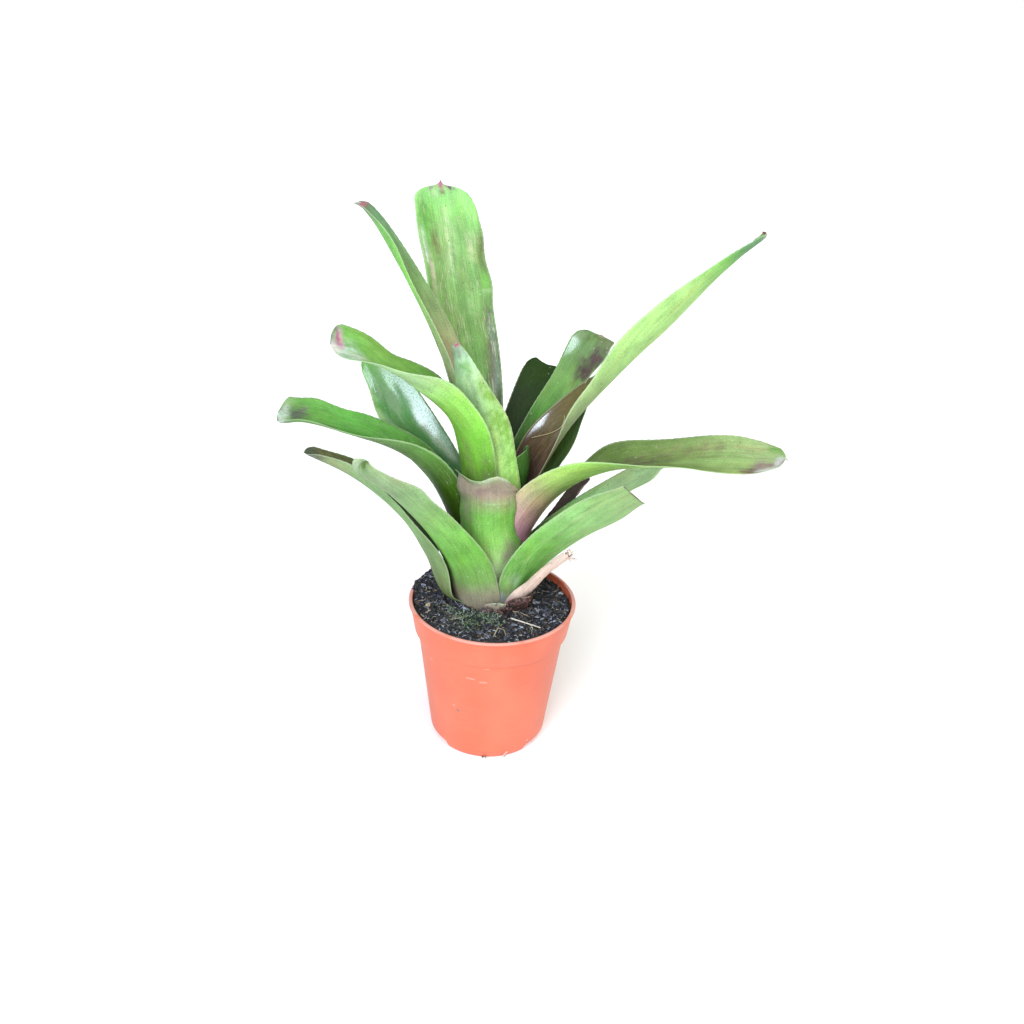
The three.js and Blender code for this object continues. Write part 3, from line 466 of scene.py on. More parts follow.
def leaf_surface(leaf, seed):
    """The blade's middle surface: points, inner-face normals, and its across, along and share coordinates."""
    t, stops, total = leaf_rings(leaf)
    centre, onward, wide, inward, width, cup = (line[:, None] for line in leaf_axes(leaf, t))
    s, left = stops[:, None], (total - stops)[:, None]
    v = np.linspace(-1, 1, BLADE["across"] + 1)[None, :]
    share = np.where(v < 0, tip_share(left, leaf.tip[0]), tip_share(left, leaf.tip[1]))
    u = v * (width / 2) * share
    radius, angle = width / 2 / cup, cup * v * share
    normal = inward * np.cos(angle)[..., None] - wide * np.sin(angle)[..., None]
    aside = wide * np.cos(angle)[..., None] + inward * np.sin(angle)[..., None]
    grow = np.zeros_like(share)
    for margin, place, reach, size in leaf.edges:
        grow = grow + size * bell(left - place, reach) * np.clip(margin * v, 0, 1)
    tooth = np.abs(s / TEETH["pitch"] % 1 - 0.5) < TEETH["share"]
    grow = grow + TEETH["height"] * tooth * (np.abs(v) == 1) * smooth(s / BLADE["calm"])
    lift = leaf_lift(leaf, seed, u, s, v, left, share)
    lean = np.zeros_like(share)
    if leaf.end:
        places, sizes = np.array(leaf.end, float).T
        lean = np.interp(v, places, sizes) * smooth(1 - left / leaf.end_reach)
    for length, turn, across, spread in leaf.curls:
        bend = math.radians(turn) * bell(v - across, spread) + TIP["least_bend"]
        run = np.maximum(length - left, 0)
        lean = lean + length / bend * np.sin(bend * run / length) - run
        lift = lift + length / bend * (1 - np.cos(bend * run / length))
    point = (centre
             + wide * (radius * np.sin(angle))[..., None]
             + inward * (radius * (1 - np.cos(angle)))[..., None]
             + aside * (grow * np.sign(v))[..., None]
             + normal * lift[..., None]
             + onward * lean[..., None])
    normal = unit(np.cross(np.gradient(point, axis=0), np.gradient(point, axis=1)))
    length, cross = np.broadcast_to(s, u.shape), np.broadcast_to(v, u.shape)
    return point, normal, u, length, length / total, cross


def blend_stops(stops, share):
    """The colour at each share of the length, between the stops."""
    places = [place for place, _ in stops]
    colours = np.array([linear(colour) for _, colour in stops])
    return np.stack([np.interp(share, places, colours[:, k]) for k in range(3)], -1)


def blotches(u, s, seed):
    """Uneven spots a few millimetres wide, 0 to 1."""
    draws = np.random.default_rng(seed + BLOTCHES["seed_shift"])
    field = np.zeros_like(u)
    for wavelength in BLOTCHES["lengths"]:
        for _ in range(BLOTCHES["waves"]):
            heading, turn = draws.uniform(0, 2 * math.pi, 2)
            run = BLOTCHES["across"] * u * math.cos(heading) + BLOTCHES["along"] * s * math.sin(heading)
            field = field + np.sin(2 * math.pi * run / wavelength + turn)
    return smooth(0.5 + BLOTCHES["contrast"] * field)


def leaf_tint(leaf, face, share, cross, spots):
    """The leaf's colour over one face: stops along its length, then soft, uneven patches."""
    tint = blend_stops(leaf.upper if face == "upper" else leaf.under, share)
    even, uneven = PATCH_EDGE
    for place, across, reach, spread, on, colour, strength in leaf.patches:
        if on in (face, "both"):
            mask = strength * np.exp(-(((share - place) / reach) ** 2) - ((cross - across) / spread) ** 2)
            mask = smooth(mask * (even + uneven * spots))
            tint = tint + (linear(colour) - tint) * mask[..., None]
    return tint


def put(name, data):
    """A new object in the scene."""
    made = bpy.data.objects.new(name, data)
    bpy.context.scene.collection.objects.link(made)
    return made


def mesh_piece(name, points, faces, finish, attributes=(), crease=None):
    """A new mesh object in metres, from points in millimetres; edges sharper than the crease stay hard."""
    mesh = bpy.data.meshes.new(name)
    mesh.from_pydata((np.asarray(points) * MM).tolist(), [], faces)
    mesh.validate()
    for label, kind, values in attributes:
        layer = mesh.attributes.new(label, kind, "POINT")
        field = {"FLOAT": "value", "FLOAT_VECTOR": "vector", "FLOAT_COLOR": "color"}[kind]
        layer.data.foreach_set(field, np.asarray(values, np.float32).ravel())
    mesh.shade_smooth()
    if crease:
        mesh.set_sharp_from_angle(angle=math.radians(crease))
    mesh.materials.append(finish)
    return put(name, mesh)


def tint_layer(colours):
    """A colour for every point, as an attribute for mesh_piece."""
    flat = np.asarray(colours).reshape(-1, 3)
    return "tint", "FLOAT_COLOR", np.hstack([flat, np.ones((len(flat), 1))])


def leaf_piece(leaf, seed, finish):
    """A blade with an upper and an under face, closed round its margins."""
    point, normal, u, length, share, cross = leaf_surface(leaf, seed)
    rows, columns = u.shape
    half = (BLADE["margin"] + (BLADE["middle"] - BLADE["margin"]) * (1 - cross**4)) / 2
    half = half * np.clip((1 - share) * BLADE["end_slope"] + BLADE["end_least"], 0, 1)
    spots = blotches(u, length, seed)
    points, tints, inner = [], [], []
    for face, away in (("upper", 1), ("under", -1)):
        points.append((point + normal * (away * half)[..., None]).reshape(-1, 3))
        tints.append(leaf_tint(leaf, face, share, cross, spots).reshape(-1, 3))
        inner.append(np.full(rows * columns, float(away > 0)))
    grid = np.arange(rows * columns).reshape(rows, columns)
    under = grid + rows * columns
    quads = [np.stack([grid[:-1, :-1], grid[1:, :-1], grid[1:, 1:], grid[:-1, 1:]], -1).reshape(-1, 4),
             np.stack([under[:-1, :-1], under[:-1, 1:], under[1:, 1:], under[1:, :-1]], -1).reshape(-1, 4),
             np.stack([grid[:-1, 0], under[:-1, 0], under[1:, 0], grid[1:, 0]], -1),
             np.stack([grid[1:, -1], under[1:, -1], under[:-1, -1], grid[:-1, -1]], -1),
             np.stack([grid[0, 1:], under[0, 1:], under[0, :-1], grid[0, :-1]], -1),
             np.stack([grid[-1, :-1], under[-1, :-1], under[-1, 1:], grid[-1, 1:]], -1)]
    place = np.stack([u, length, np.full_like(u, seed * GRAIN_SHIFT)], -1).reshape(-1, 3)
    rim = np.abs(cross).reshape(-1)
    gloss = leaf.gloss * bell(share - leaf.shine[0], leaf.shine[1]).reshape(-1)
    attributes = [
        tint_layer(np.vstack(tints)),
        ("place", "FLOAT_VECTOR", np.vstack([place, place])),
        ("rim", "FLOAT", np.tile(rim, 2)),
        ("inner", "FLOAT", np.concatenate(inner)),
        ("scurf", "FLOAT", np.full(2 * rim.size, leaf.scurf)),
        ("gloss", "FLOAT", np.tile(gloss, 2)),
    ]
    piece = mesh_piece(leaf.name + "_blade", np.vstack(points), np.vstack(quads).tolist(), finish, attributes)
    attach(piece, "root")
    if leaf.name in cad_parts:
        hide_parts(leaf.name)
    return piece


# ---- finishes ----


class Value:
    """A shader socket: arithmetic on it adds Math nodes to its tree."""

    def __init__(self, finish, socket):
        self.finish, self.socket = finish, socket

    def math(self, operation, first, second):
        return self.finish.node("ShaderNodeMath", {"operation": operation}, {0: first, 1: second})

    def __add__(self, other):
        return self.math("ADD", self, other)

    def __sub__(self, other):
        return self.math("SUBTRACT", self, other)

    def __rsub__(self, other):
        return self.math("SUBTRACT", other, self)

    def __mul__(self, other):
        return self.math("MULTIPLY", self, other)

    __radd__, __rmul__ = __add__, __mul__

    def rises(self, low, high):
        """0 below low, 1 above high, smooth between; falls instead where low is the larger."""
        return self.finish.node("ShaderNodeMapRange", {"interpolation_type": "SMOOTHSTEP"},
                                {"Value": self, "From Min": low, "From Max": high})


class Finish:
    """The nodes of a new material or world, up to its shader."""

    def __init__(self, owner, shader="Principled BSDF"):
        owner.use_nodes = True
        self.owner, self.tree = owner, owner.node_tree
        self.shader = self.tree.nodes[shader]

    def feed(self, socket, value):
        """Links a Value to the socket, or sets a plain value on it."""
        if isinstance(value, Value):
            self.tree.links.new(value.socket, socket)
        else:
            socket.default_value = value

    def node(self, kind, settings=None, sockets=None, out=0):
        """Adds a node: first its settings, with a ramp's stops among them, then what its sockets get."""
        made = self.tree.nodes.new(kind)
        for name, value in (settings or {}).items():
            if name == "stops":
                for element, (place, colour) in zip(made.color_ramp.elements, value):
                    element.position, element.color = place, colour
            else:
                setattr(made, name, value)
        for name, value in (sockets or {}).items():
            self.feed(made.inputs[name], value)
        return Value(self, made.outputs[out])

    def attribute(self, name, out="Fac"):
        return self.node("ShaderNodeAttribute", {"attribute_name": name}, out=out)

    def where(self):
        """The place on the piece, in metres."""
        return self.node("ShaderNodeTexCoord", out="Object")

    def stretch(self, vector, scale):
        return self.node("ShaderNodeVectorMath", {"operation": "MULTIPLY"}, {0: vector, 1: scale})

    def noise(self, vector, scale, detail=2.0, rough=0.5):
        """Soft noise, with one scale or with one for each axis."""
        if isinstance(scale, tuple):
            vector, scale = self.stretch(vector, scale), 1.0
        return self.node("ShaderNodeTexNoise", None,
                         {"Vector": vector, "Scale": scale, "Detail": detail, "Roughness": rough})

    def cells(self, vector, scale):
        return self.node("ShaderNodeTexVoronoi", None, {"Vector": vector, "Scale": scale}, "Distance")

    def mix(self, share, first, second, how="MIX"):
        return self.node("ShaderNodeMix", {"data_type": "RGBA", "blend_type": how},
                         {0: share, 6: first, 7: second}, 2)

    def bump(self, height, distance, strength=1.0, normal=None):
        sockets = {"Height": height, "Distance": distance, "Strength": strength}
        if normal is not None:
            sockets["Normal"] = normal
        return self.node("ShaderNodeBump", None, sockets)

    def surface(self, **sockets):
        """Feeds the shader and gives the finished material or world."""
        for name, value in sockets.items():
            self.feed(self.shader.inputs[name.replace("_", " ").title().replace("Ior", "IOR")], value)
        return self.owner


def new_finish(name):
    """The nodes of a new material."""
    return Finish(bpy.data.materials.new(name))


def rgba(colour):
    """A named or plain display colour for a colour socket."""
    return (*linear(colour), 1.0)


def leaf_finish():
    """A live blade: fine lengthwise veins, mottling, pale margins, flecks of scurf and painted glints under a
    waxy gloss.
    """
    f = new_finish("leaf_blade")
    place, rim = f.attribute("place", "Vector"), f.attribute("rim")
    inner, scurf, gloss = f.attribute("inner"), f.attribute("scurf"), f.attribute("gloss")
    veins = f.noise(place, (1.1, 0.02, 1), 3, 0.6)
    streaks = f.noise(place, (0.4, 0.014, 1), 3, 0.65)
    mottle = f.noise(place, (0.12, 0.06, 1), 4, 0.6)
    grain = f.noise(place, (1.3, 0.9, 1), 3, 0.7)
    light = 0.45 * veins + (0.35 + 0.45 * scurf) * streaks + 1.1 * mottle + 1.3 * grain - (0.6 + 0.22 * scurf)
    colour = f.mix(1.0, f.attribute("tint", "Color"), light, "MULTIPLY")
    warm = f.noise(place, (0.14, 0.03, 1), 3, 0.6).rises(0.48, 0.68)
    colour = f.mix(warm * 0.35, colour, f.mix(1.0, colour, WARMER, "MULTIPLY"))
    scales = f.noise(place, (1.1, 0.09, 1), 4, 0.75).rises(0.5, 0.66)
    bands = f.noise(place, (0.1, 0.02, 1), 2, 0.5).rises(0.42, 0.56)
    colour = f.mix(scales * bands * scurf * 0.7, colour, rgba("scurf"))
    specks = f.cells(place, 0.2).rises(0.11, 0.05) * f.noise(place, 0.04, 1).rises(0.5, 0.6)
    colour = f.mix(specks * 0.7, colour, rgba("white"))
    dots = f.cells(f.stretch(place, (1, 0.7, 1)), 0.15).rises(0.08, 0.04)
    colour = f.mix(dots * 0.7, colour, rgba("brown"))
    edge = (rim + 0.03 * grain).rises(0.965, 0.995)
    colour = f.mix(edge * 0.4, colour, rgba("cream"))
    # Painted glints: pale flecks mixed into the colour, stronger on scaly blades.
    painted_glints = f.noise(place, (2.2, 1.6, 1), 2, 0.6).rises(0.6, 0.72)
    colour = f.mix(painted_glints * (0.25 + 0.3 * scurf), colour, rgba("pale"))
    ridges = f.bump(veins, 0.0004)
    normal = f.bump(grain, 0.00016, 0.7, ridges)
    rough = 0.5 + 0.16 * mottle + 0.1 * scales * scurf
    return f.surface(base_color=colour, roughness=rough, normal=normal, specular_ior_level=0.2,
                     coat_weight=gloss * inner * grain.rises(0.25, 0.6), coat_roughness=0.17, coat_ior=2.4)


def withered_finish():
    """Dry leaf: dull, ribbed and blotched, rotted black in places where the scurf share is high."""
    f = new_finish("withered_blade")
    place, scurf = f.attribute("place", "Vector"), f.attribute("scurf")
    ribs = f.noise(place, (1.3, 0.05, 1), 4, 0.7)
    blotch = f.noise(place, (0.3, 0.16, 1), 3, 0.6)
    rot = f.noise(place, (0.3, 0.26, 1), 4, 0.75)
    colour = f.mix(1.0, f.attribute("tint", "Color"), 0.35 + 0.95 * ribs + 0.35 * blotch, "MULTIPLY")
    colour = f.mix(blotch.rises(0.6, 0.72) * 0.5, colour, rgba("brown"))
    colour = f.mix(rot.rises(0.45, 0.38) * scurf, colour, rgba(ROT["edge"]))
    colour = f.mix(rot.rises(0.5, 0.56) * scurf, colour, rgba(ROT["core"]))
    return f.surface(base_color=colour, roughness=0.62 + 0.25 * ribs, normal=f.bump(ribs, 0.0006))


def plastic_finish():
    """Moulded terracotta-coloured plastic: faint flow marks, rubbed spots, a few pale scratches, and a pale
    lip of wear and painted highlight.
    """
    f = new_finish("pot_plastic")
    where = f.where()
    clouds = f.noise(where, (28, 28, 20), 3, 0.5)
    flow = f.noise(where, (60, 60, 420), 2, 0.5)
    colour = f.mix(clouds.rises(0.35, 0.7), rgba(PLASTIC["deep"]), rgba(PLASTIC["light"]))
    colour = f.mix(flow.rises(0.55, 0.8) * 0.2, colour, rgba(PLASTIC["flow"]))
    dust = f.noise(where, 900, 2, 0.6).rises(0.6, 0.78) * clouds.rises(0.5, 0.68)
    colour = f.mix(dust * 0.3, colour, rgba(PLASTIC["dust"]))
    scratch = f.noise(where, (420, 420, 90), 4, 0.75).rises(0.7, 0.76)
    scratch = scratch * f.noise(where, 45, 1).rises(0.56, 0.66)
    colour = f.mix(scratch * 0.5, colour, rgba(PLASTIC["scratch"]))
    ragged = f.noise(where, (700, 700, 1400), 3, 0.7)
    for (x, y, z), reach, flat, tone in POT_MARKS:
        spot = (x * MM, y * MM, z * flat * MM)
        near = f.node("ShaderNodeVectorMath", {"operation": "DISTANCE"},
                      {0: f.stretch(where, (1, 1, flat)), 1: spot}, "Value")
        mark = (near + MM * 2 * ragged).rises((reach + 1.3) * MM, (reach + 0.7) * MM)
        colour = f.mix(mark * ragged.rises(0.36, 0.5), colour, rgba(tone))
    height = f.node("ShaderNodeSeparateXYZ", None, {0: where}, "Z")
    # Painted highlight along the top of the lip, partly real wear: a pale broken line at the rim's height.
    lip_wear_and_highlight = height.rises(0.1108, 0.1118) * f.noise(where, 60, 1).rises(0.25, 0.5)
    colour = f.mix(lip_wear_and_highlight * 0.5, colour, rgba(PLASTIC["lip_wear_and_highlight"]))
    rough = 0.4 + 0.16 * clouds + 0.1 * dust
    return f.surface(base_color=colour, roughness=rough, normal=f.bump(flow, 0.0001, 0.4))


def peat_finish(name="peat"):
    """Damp peat: near black, broken up with browner crumbs, with a dull sheen."""
    f = new_finish(name)
    lumps = f.noise(f.where(), 700, 4, 0.7)
    colour = f.mix(1.0, f.attribute("tint", "Color"), 0.45 + 1.1 * lumps, "MULTIPLY")
    return f.surface(base_color=colour, roughness=0.5 + 0.3 * lumps, normal=f.bump(lumps, 0.0008))


def fibre_finish(name):
    """Roots, twigs and moss: a tint per strand, with a fine uneven grain."""
    f = new_finish(name)
    grain = f.noise(f.where(), 1500, 3, 0.6)
    colour = f.mix(1.0, f.attribute("tint", "Color"), 0.7 + 0.6 * grain, "MULTIPLY")
    return f.surface(base_color=colour, roughness=0.6 + 0.2 * grain, normal=f.bump(grain, 0.0003))


# ---- pot ----


def ring_faces(rings, sides):
    """Faces over a foot point, rings of points and a top point, numbered in that order."""
    last, faces = rings * sides + 1, []
    for k in range(sides):
        n = (k + 1) % sides
        faces.append((0, 1 + n, 1 + k))
        for ring in range(rings - 1):
            a = 1 + ring * sides
            faces.append((a + k, a + n, a + sides + n, a + sides + k))
        a = 1 + (rings - 1) * sides
        faces.append((a + k, a + n, last))
    return faces


def lathe(name, profile, sides, finish):
    """A profile of (radius, height) pairs turned about Z; it starts and ends on the axis."""
    angles = np.linspace(0, 2 * math.pi, sides, endpoint=False)
    points = [(0, 0, profile[0][1])]
    for radius, height in profile[1:-1]:
        points += [(radius * math.cos(a), radius * math.sin(a), height) for a in angles]
    points.append((0, 0, profile[-1][1]))
    return mesh_piece(name, points, ring_faces(len(profile) - 2, sides), finish)


def rounded(corners, steps=5):
    """The outline with its (radius, height, round) corners turned into arcs."""
    path = []
    for i, (r, z, fillet) in enumerate(corners):
        here = np.array([r, z], float)
        if not fillet:
            path.append(tuple(here))
            continue
        before = unit(np.array(corners[i - 1][:2], float) - here)
        after = unit(np.array(corners[i + 1][:2], float) - here)
        for k in range(steps + 1):
            w = k / steps
            path.append(tuple(here + fillet * ((1 - w) ** 2 * before + w**2 * after)))
    return path


def pot_outline(inset, top):
    """The pot's outline moved inwards by inset; 0 gives the outside."""
    collar, lip = POT["height"] - POT["band"], POT["rim"] - POT["lip"] / 2
    base_round, foot_round, shoulder_round, band_round, lip_round = POT["rounds"]
    return rounded([
        (0, inset, 0),
        (POT["base"] - inset, inset, base_round),
        (POT["foot"] - inset, POT["corner"] + inset / 2, foot_round),
        (POT["shoulder"] - inset, collar + inset / 2, shoulder_round),
        (POT["band_radius"] - inset, collar + POT["ledge"] + inset / 2, band_round),
        (lip - inset, POT["height"] - POT["lip"], lip_round),
        (lip - inset, top, 0),
        (0, top, 0),
    ])


def lip_outline():
    """The rolled lip: half a round outside and a quarter inside, closed on the axis."""
    reach, rise = (POT["lip"] + POT["wall"]) / 2, POT["lip"] / 2
    radius, level = POT["rim"] - reach, POT["height"] - rise
    outside = np.linspace(-math.pi / 2, math.pi / 2, 9)
    inside = np.linspace(math.pi / 2, math.pi, 6)[1:]
    roll = [(radius + reach * math.cos(a), level + rise * math.sin(a)) for a in (*outside, *inside)]
    return [(0, POT["height"] - POT["lip"]), *roll, (0, level)]


def notch_headings():
    """Where the three flats stand round the pot, in degrees."""
    return [NOTCH["first"] + 360 * k / NOTCH["count"] for k in range(NOTCH["count"])]


def box_cutter(size, place, heading, tilt=0.0):
    """A box in millimetres, tilted about Y, moved to its place and turned about Z."""
    bpy.ops.mesh.primitive_cube_add(size=1)
    cutter = bpy.context.object
    turn = Matrix.Rotation(math.radians(heading), 4, "Z") @ Matrix.Translation(Vector(place) * MM)
    shape = Matrix.Rotation(math.radians(tilt), 4, "Y") @ Matrix.Diagonal((*(np.array(size) * MM), 1))
    cutter.data.transform(turn @ shape)
    return cutter


def hole_cutters():
    """A rod for each of the small holes in the floor."""
    cutters, circle = [], FLOOR_HOLES["circle"] * MM
    for k in range(FLOOR_HOLES["count"]):
        a = math.radians(FLOOR_HOLES["first"] + 360 * k / FLOOR_HOLES["count"])
        bpy.ops.mesh.primitive_cylinder_add(
            radius=FLOOR_HOLES["radius"] * MM, depth=2 * CLEAR * MM, vertices=FLOOR_HOLES["sides"],
            location=(circle * math.cos(a), circle * math.sin(a), 0))
        cutters.append(bpy.context.object)
    return cutters


def cut(piece, others, operation="DIFFERENCE"):
    """Joins or cuts the piece with the others, and removes them."""
    for other in others:
        step = piece.modifiers.new("cut", "BOOLEAN")
        step.operation, step.object, step.solver = operation, other, "EXACT"
    bpy.context.view_layer.update()
    shaped = bpy.data.meshes.new_from_object(piece.evaluated_get(bpy.context.evaluated_depsgraph_get()))
    piece.modifiers.clear()
    old, piece.data = piece.data, shaped
    bpy.data.meshes.remove(old)
    for other in others:
        bpy.data.objects.remove(other)
    return piece


def pressed_body(name, inset, top, finish):
    """The pot's body at an inset, with the three flats in its bottom corner."""
    body = lathe(name, pot_outline(inset, top), POT["sides"], finish)
    reach = NOTCH["depth"] + CLEAR
    size = (2 * reach, 2 * (NOTCH["half_width"] + inset), 2 * (NOTCH["height"] + inset))
    place = (NOTCH["radius"] + reach - inset, 0, 0)
    return cut(body, [box_cutter(size, place, heading, NOTCH["slope"]) for heading in notch_headings()])


def pot_piece():
    """The moulded pot: body and lip joined, then hollowed, with drain slots and floor holes."""
    finish = plastic_finish()
    pot = pressed_body("pot_shell", 0, POT["height"] - POT["lip"] / 2, finish)
    pot = cut(pot, [lathe("lip", lip_outline(), POT["sides"], finish)], "UNION")
    slot_size = (NOTCH["radius"], SLOT["width"], SLOT["height"])
    slot_place = (NOTCH["radius"], 0, SLOT["level"])
    slots = [box_cutter(slot_size, slot_place, heading) for heading in notch_headings()]
    holes = hole_cutters()
    pot = cut(pot, [pressed_body("cavity", POT["wall"], POT["height"] + CLEAR, finish), *slots, *holes])
    pot.data.shade_smooth()
    pot.data.set_sharp_from_angle(angle=math.radians(POT["crease"]))
    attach(pot, "root")
    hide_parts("pot")
    return pot


# ---- peat, roots and moss ----
# The plug has a straight foot inside the flats and follows the wall above it.
PEAT = dict(
    clearance=0.35, rise=2.6, tilt=(-0.005, -0.04), heap=7.5, heap_at=(-43.0, 18.0), heap_size=13.0,
    foot_gap=3.5, foot_levels=(2.5, 10.0), wall_levels=(20.0, 60.0, 88.0, 96.0),
    rings=70, sides=220, inner_ring=0.8, edge=1.5, tint=(27, 26, 32),
)
PEAT_WAVES = ((0.85, 0.42, 0.37, 1.3), (0.85, 0.83, -0.61, 0), (0.85, 0.3, 1.1, 1.6))  # height, slopes, start
PEAT_LUMPS = ((0.7, 1.3, 0.6, 0, -0.5, 1.1), (0.3, 3.9, 0, -0.7, 0, 3.4))  # and a crossing wave's slopes
# The palest tint, a blue-grey, paints glints of light on wet crumbs; the others are the peat's own tones.
PEAT_TINTS = [(52, 50, 60), (84, 86, 102), (20, 19, 24), (170, 176, 194), (92, 72, 62)]
PEAT_SHARES = (0.31, 0.22, 0.29, 0.1, 0.08)
# sizes: (roundness, count, least, largest). form: spans of length, width and height.
# stand: how far a crumb stands out of the peat, as a share of its height.
CRUMBS = dict(
    sizes=((2, 1100, 0.6, 1.6), (1, 4400, 0.35, 1.0)), form=((1, 2.3), (0.45, 0.9), (0.4, 0.8)), inner=22.0,
    spin=6.28, tip=0.9, rough=7, dent=0.42, stand=(-0.1, 0.9), tone=(0.6, 1.4), crease=30,
)
LIP_CRUMBS = dict(one_in=12, headings=(116, 174), inside=(4.5, 1.6), lip=3.6)
SHREDS = dict(
    count=2600, inner=24, long=(1.2, 3.6), slope=(-0.5, 0.7), lift=(0.5, 1.5), bend=0.35, radius=(0.13, 0.32),
)
# The pale blue-grey tint paints glints on wet shreds; the pale beige one is the fibres' own colour.
SHRED_TINTS = [(26, 24, 30), (72, 72, 86), (112, 90, 72), (214, 196, 164), (176, 180, 198)]
SHRED_SHARES = (0.36, 0.26, 0.14, 0.08, 0.16)
ROOT_TINTS = dict(
    pale=(255, 244, 226), tan=(220, 200, 164), brown=(140, 116, 92), grey=(150, 146, 132), old=(126, 96, 70),
    green=(84, 110, 66), straw=(214, 196, 150), thread=(240, 250, 240), fresh=(240, 232, 222),
)
# Over the peat: path, lift, radius, tint, sides, steps.
ROOTS = [
    ([(14, -22.6), (20.5, -27.8), (26.8, -31), (34.5, -37.7)], 1.7, 0.55, "pale", 8, 20),
    ([(17, -24), (20.5, -21), (23, -19.5)], 1.5, 0.3, "pale", 6, 10),
    ([(26.8, -31), (29, -36), (28.5, -40)], 1.5, 0.28, "tan", 6, 10),
    ([(9, -14), (15, -15), (20, -16.5), (27, -19.5)], 1.6, 0.24, "tan", 6, 14),
    ([(2.5, -50), (4.9, -41), (6.8, -34), (9.3, -27.5)], 1.6, 0.4, "tan", 6, 18),
    ([(6, -38), (9.5, -43), (11, -49)], 1.4, 0.26, "tan", 6, 14),
    ([(4.5, -42), (0, -45), (-4, -50)], 1.2, 0.2, "brown", 6, 14),
    ([(36, 43), (42, 40), (48, 33), (47.5, 22), (46, 12), (42.5, 1)], 2.2, 0.32, "brown", 6, 30),
    ([(-46, -8), (-45.5, -13), (-44, -20)], 1.6, 0.35, "tan", 6, 14),
    ([(-36, 8), (-35, 0), (-37, -9)], 1.8, 0.25, "brown", 6, 14),
    ([(-52, 6), (-46, 2), (-40, 4)], 1.6, 0.22, "tan", 6, 14),
]
TWIGS = dict(
    count=110, inner=27, outer=54, long=(3, 9), bend=1.0, lift=(0.9, 1.8), radius=(0.12, 0.24),
    tints=("tan", "brown", "grey", "green"),
)
# On a leaf: its name, (share, across) places, lift, radius, tint, steps.
THREADS = [
    ("leaf_long_right", [(0.35, 0.79), (0.38, 0.36), (0.41, 0.14), (0.43, 0.36), (0.43, 0.43)],
     1.0, 0.3, "straw", 30),
    ("leaf_back_left", [(0.9, 0.5), (0.87, 0.6), (0.84, 0.65), (0.84, 0.5)], 0.9, 0.25, "thread", 16),
]
# Out of the slots: path, radius, tint, sides, steps.
HANGING_ROOTS = [
    ([(15.5, -35, 0.6), (14.5, -41.2, 1.5), (14, -42.4, 4.5), (16.5, -42.2, 7.5)], 0.45, "fresh", 8, 20),
    ([(14.5, -41.6, 2.4), (12.5, -43, 2.2), (11.5, -43.2, 0.9)], 0.3, "fresh", 6, 12),
    ([(-2, -39, 0.6), (-1.5, -42.2, 1.2), (0.5, -43.2, 3.2), (1, -43.2, 1.0)], 0.5, "old", 6, 14),
]
SCRAP = dict(
    at=(-45.5, -12.5), radii=(1.6, 2.9), sides=18, lift=2.0, thickness=0.35, middle=(2.6, 2.2),
    tint=(226, 204, 176), tone=(0.6, 1.05),
)
# The clumps' centres, widths and depths, and how many sprigs each has.
MOSS_AT = [
    (-19, -26, 11, 9, 230), (-3, -23, 10, 7, 210), (-28, -17, 7, 6, 70),
    (2, -31, 8, 6, 90), (-14, -36, 10, 7, 110),
]
MOSS_TINTS = [(70, 104, 62), (104, 138, 94), (156, 180, 148), (204, 214, 196), (50, 72, 44)]
MOSS = dict(lift=0.6, tall=(0.8, 2.6), lean=(0.6, 2.2), radius=(0.14, 0.26))
STUB_END = dict(at=(50.5, -32.5, 167.5), curl=1.9, fibres=9, pale=(255, 230, 216), dark=(150, 120, 100))


def peat_height(x, y):
    """The peat's top: lumpy, fuller towards the front and heaped over the rim at the back left."""
    waves = sum(height * np.sin(a * x + b * y + c) for height, a, b, c in PEAT_WAVES)
    lumps = sum(height * np.sin(a * x + b * y + c) * np.sin(d * x + e * y)
                for height, a, b, c, d, e in PEAT_LUMPS)
    hx, hy = PEAT["heap_at"]
    heap = PEAT["heap"] * np.exp(-((x - hx) ** 2 + (y - hy) ** 2) / (2 * PEAT["heap_size"] ** 2))
    return SOIL_LEVEL + PEAT["rise"] + PEAT["tilt"][0] * x + PEAT["tilt"][1] * y + waves + lumps + heap


def on_top(x, y, lift=0.0):
    """A point over the peat's top."""
    return np.array([x, y, float(peat_height(x, y)) + lift])


def wall_radius(z):
    """Inside of the pot's wall at height z."""
    collar, lip = POT["height"] - POT["band"], POT["rim"] - POT["lip"] / 2
    heights = [0, POT["corner"], collar, collar + POT["ledge"], POT["height"] - POT["lip"], POT["height"]]
    radii = [POT["base"], POT["foot"], POT["shoulder"], POT["band_radius"], lip, lip]
    return np.interp(z, heights, radii) - POT["wall"] - PEAT["clearance"]


def peat_piece():
    """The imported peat: a lumpy top on a plug that fills the pot."""
    angles = np.linspace(0, 2 * math.pi, PEAT["sides"], endpoint=False)
    foot = NOTCH["radius"] - PEAT["foot_gap"]
    plug = [(foot, z) for z in PEAT["foot_levels"]] + [(wall_radius(z), z) for z in PEAT["wall_levels"]]
    points = [(0, 0, PEAT["foot_levels"][0])]
    for r, z in plug:
        points += [(r * math.cos(a), r * math.sin(a), z) for a in angles]
    for r in np.linspace(float(wall_radius(SOIL_LEVEL)), PEAT["inner_ring"], PEAT["rings"]):
        x, y = r * np.cos(angles), r * np.sin(angles)
        points += list(zip(x, y, peat_height(x, y)))
    points.append((0, 0, float(peat_height(0, 0))))
    tint = np.tile(linear(PEAT["tint"]), (len(points), 1))
    faces = ring_faces(len(plug) + PEAT["rings"], PEAT["sides"])
    piece = mesh_piece("peat", points, faces, peat_finish(), [tint_layer(tint)])
    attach(piece, "root")
    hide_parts("soil")
    return piece


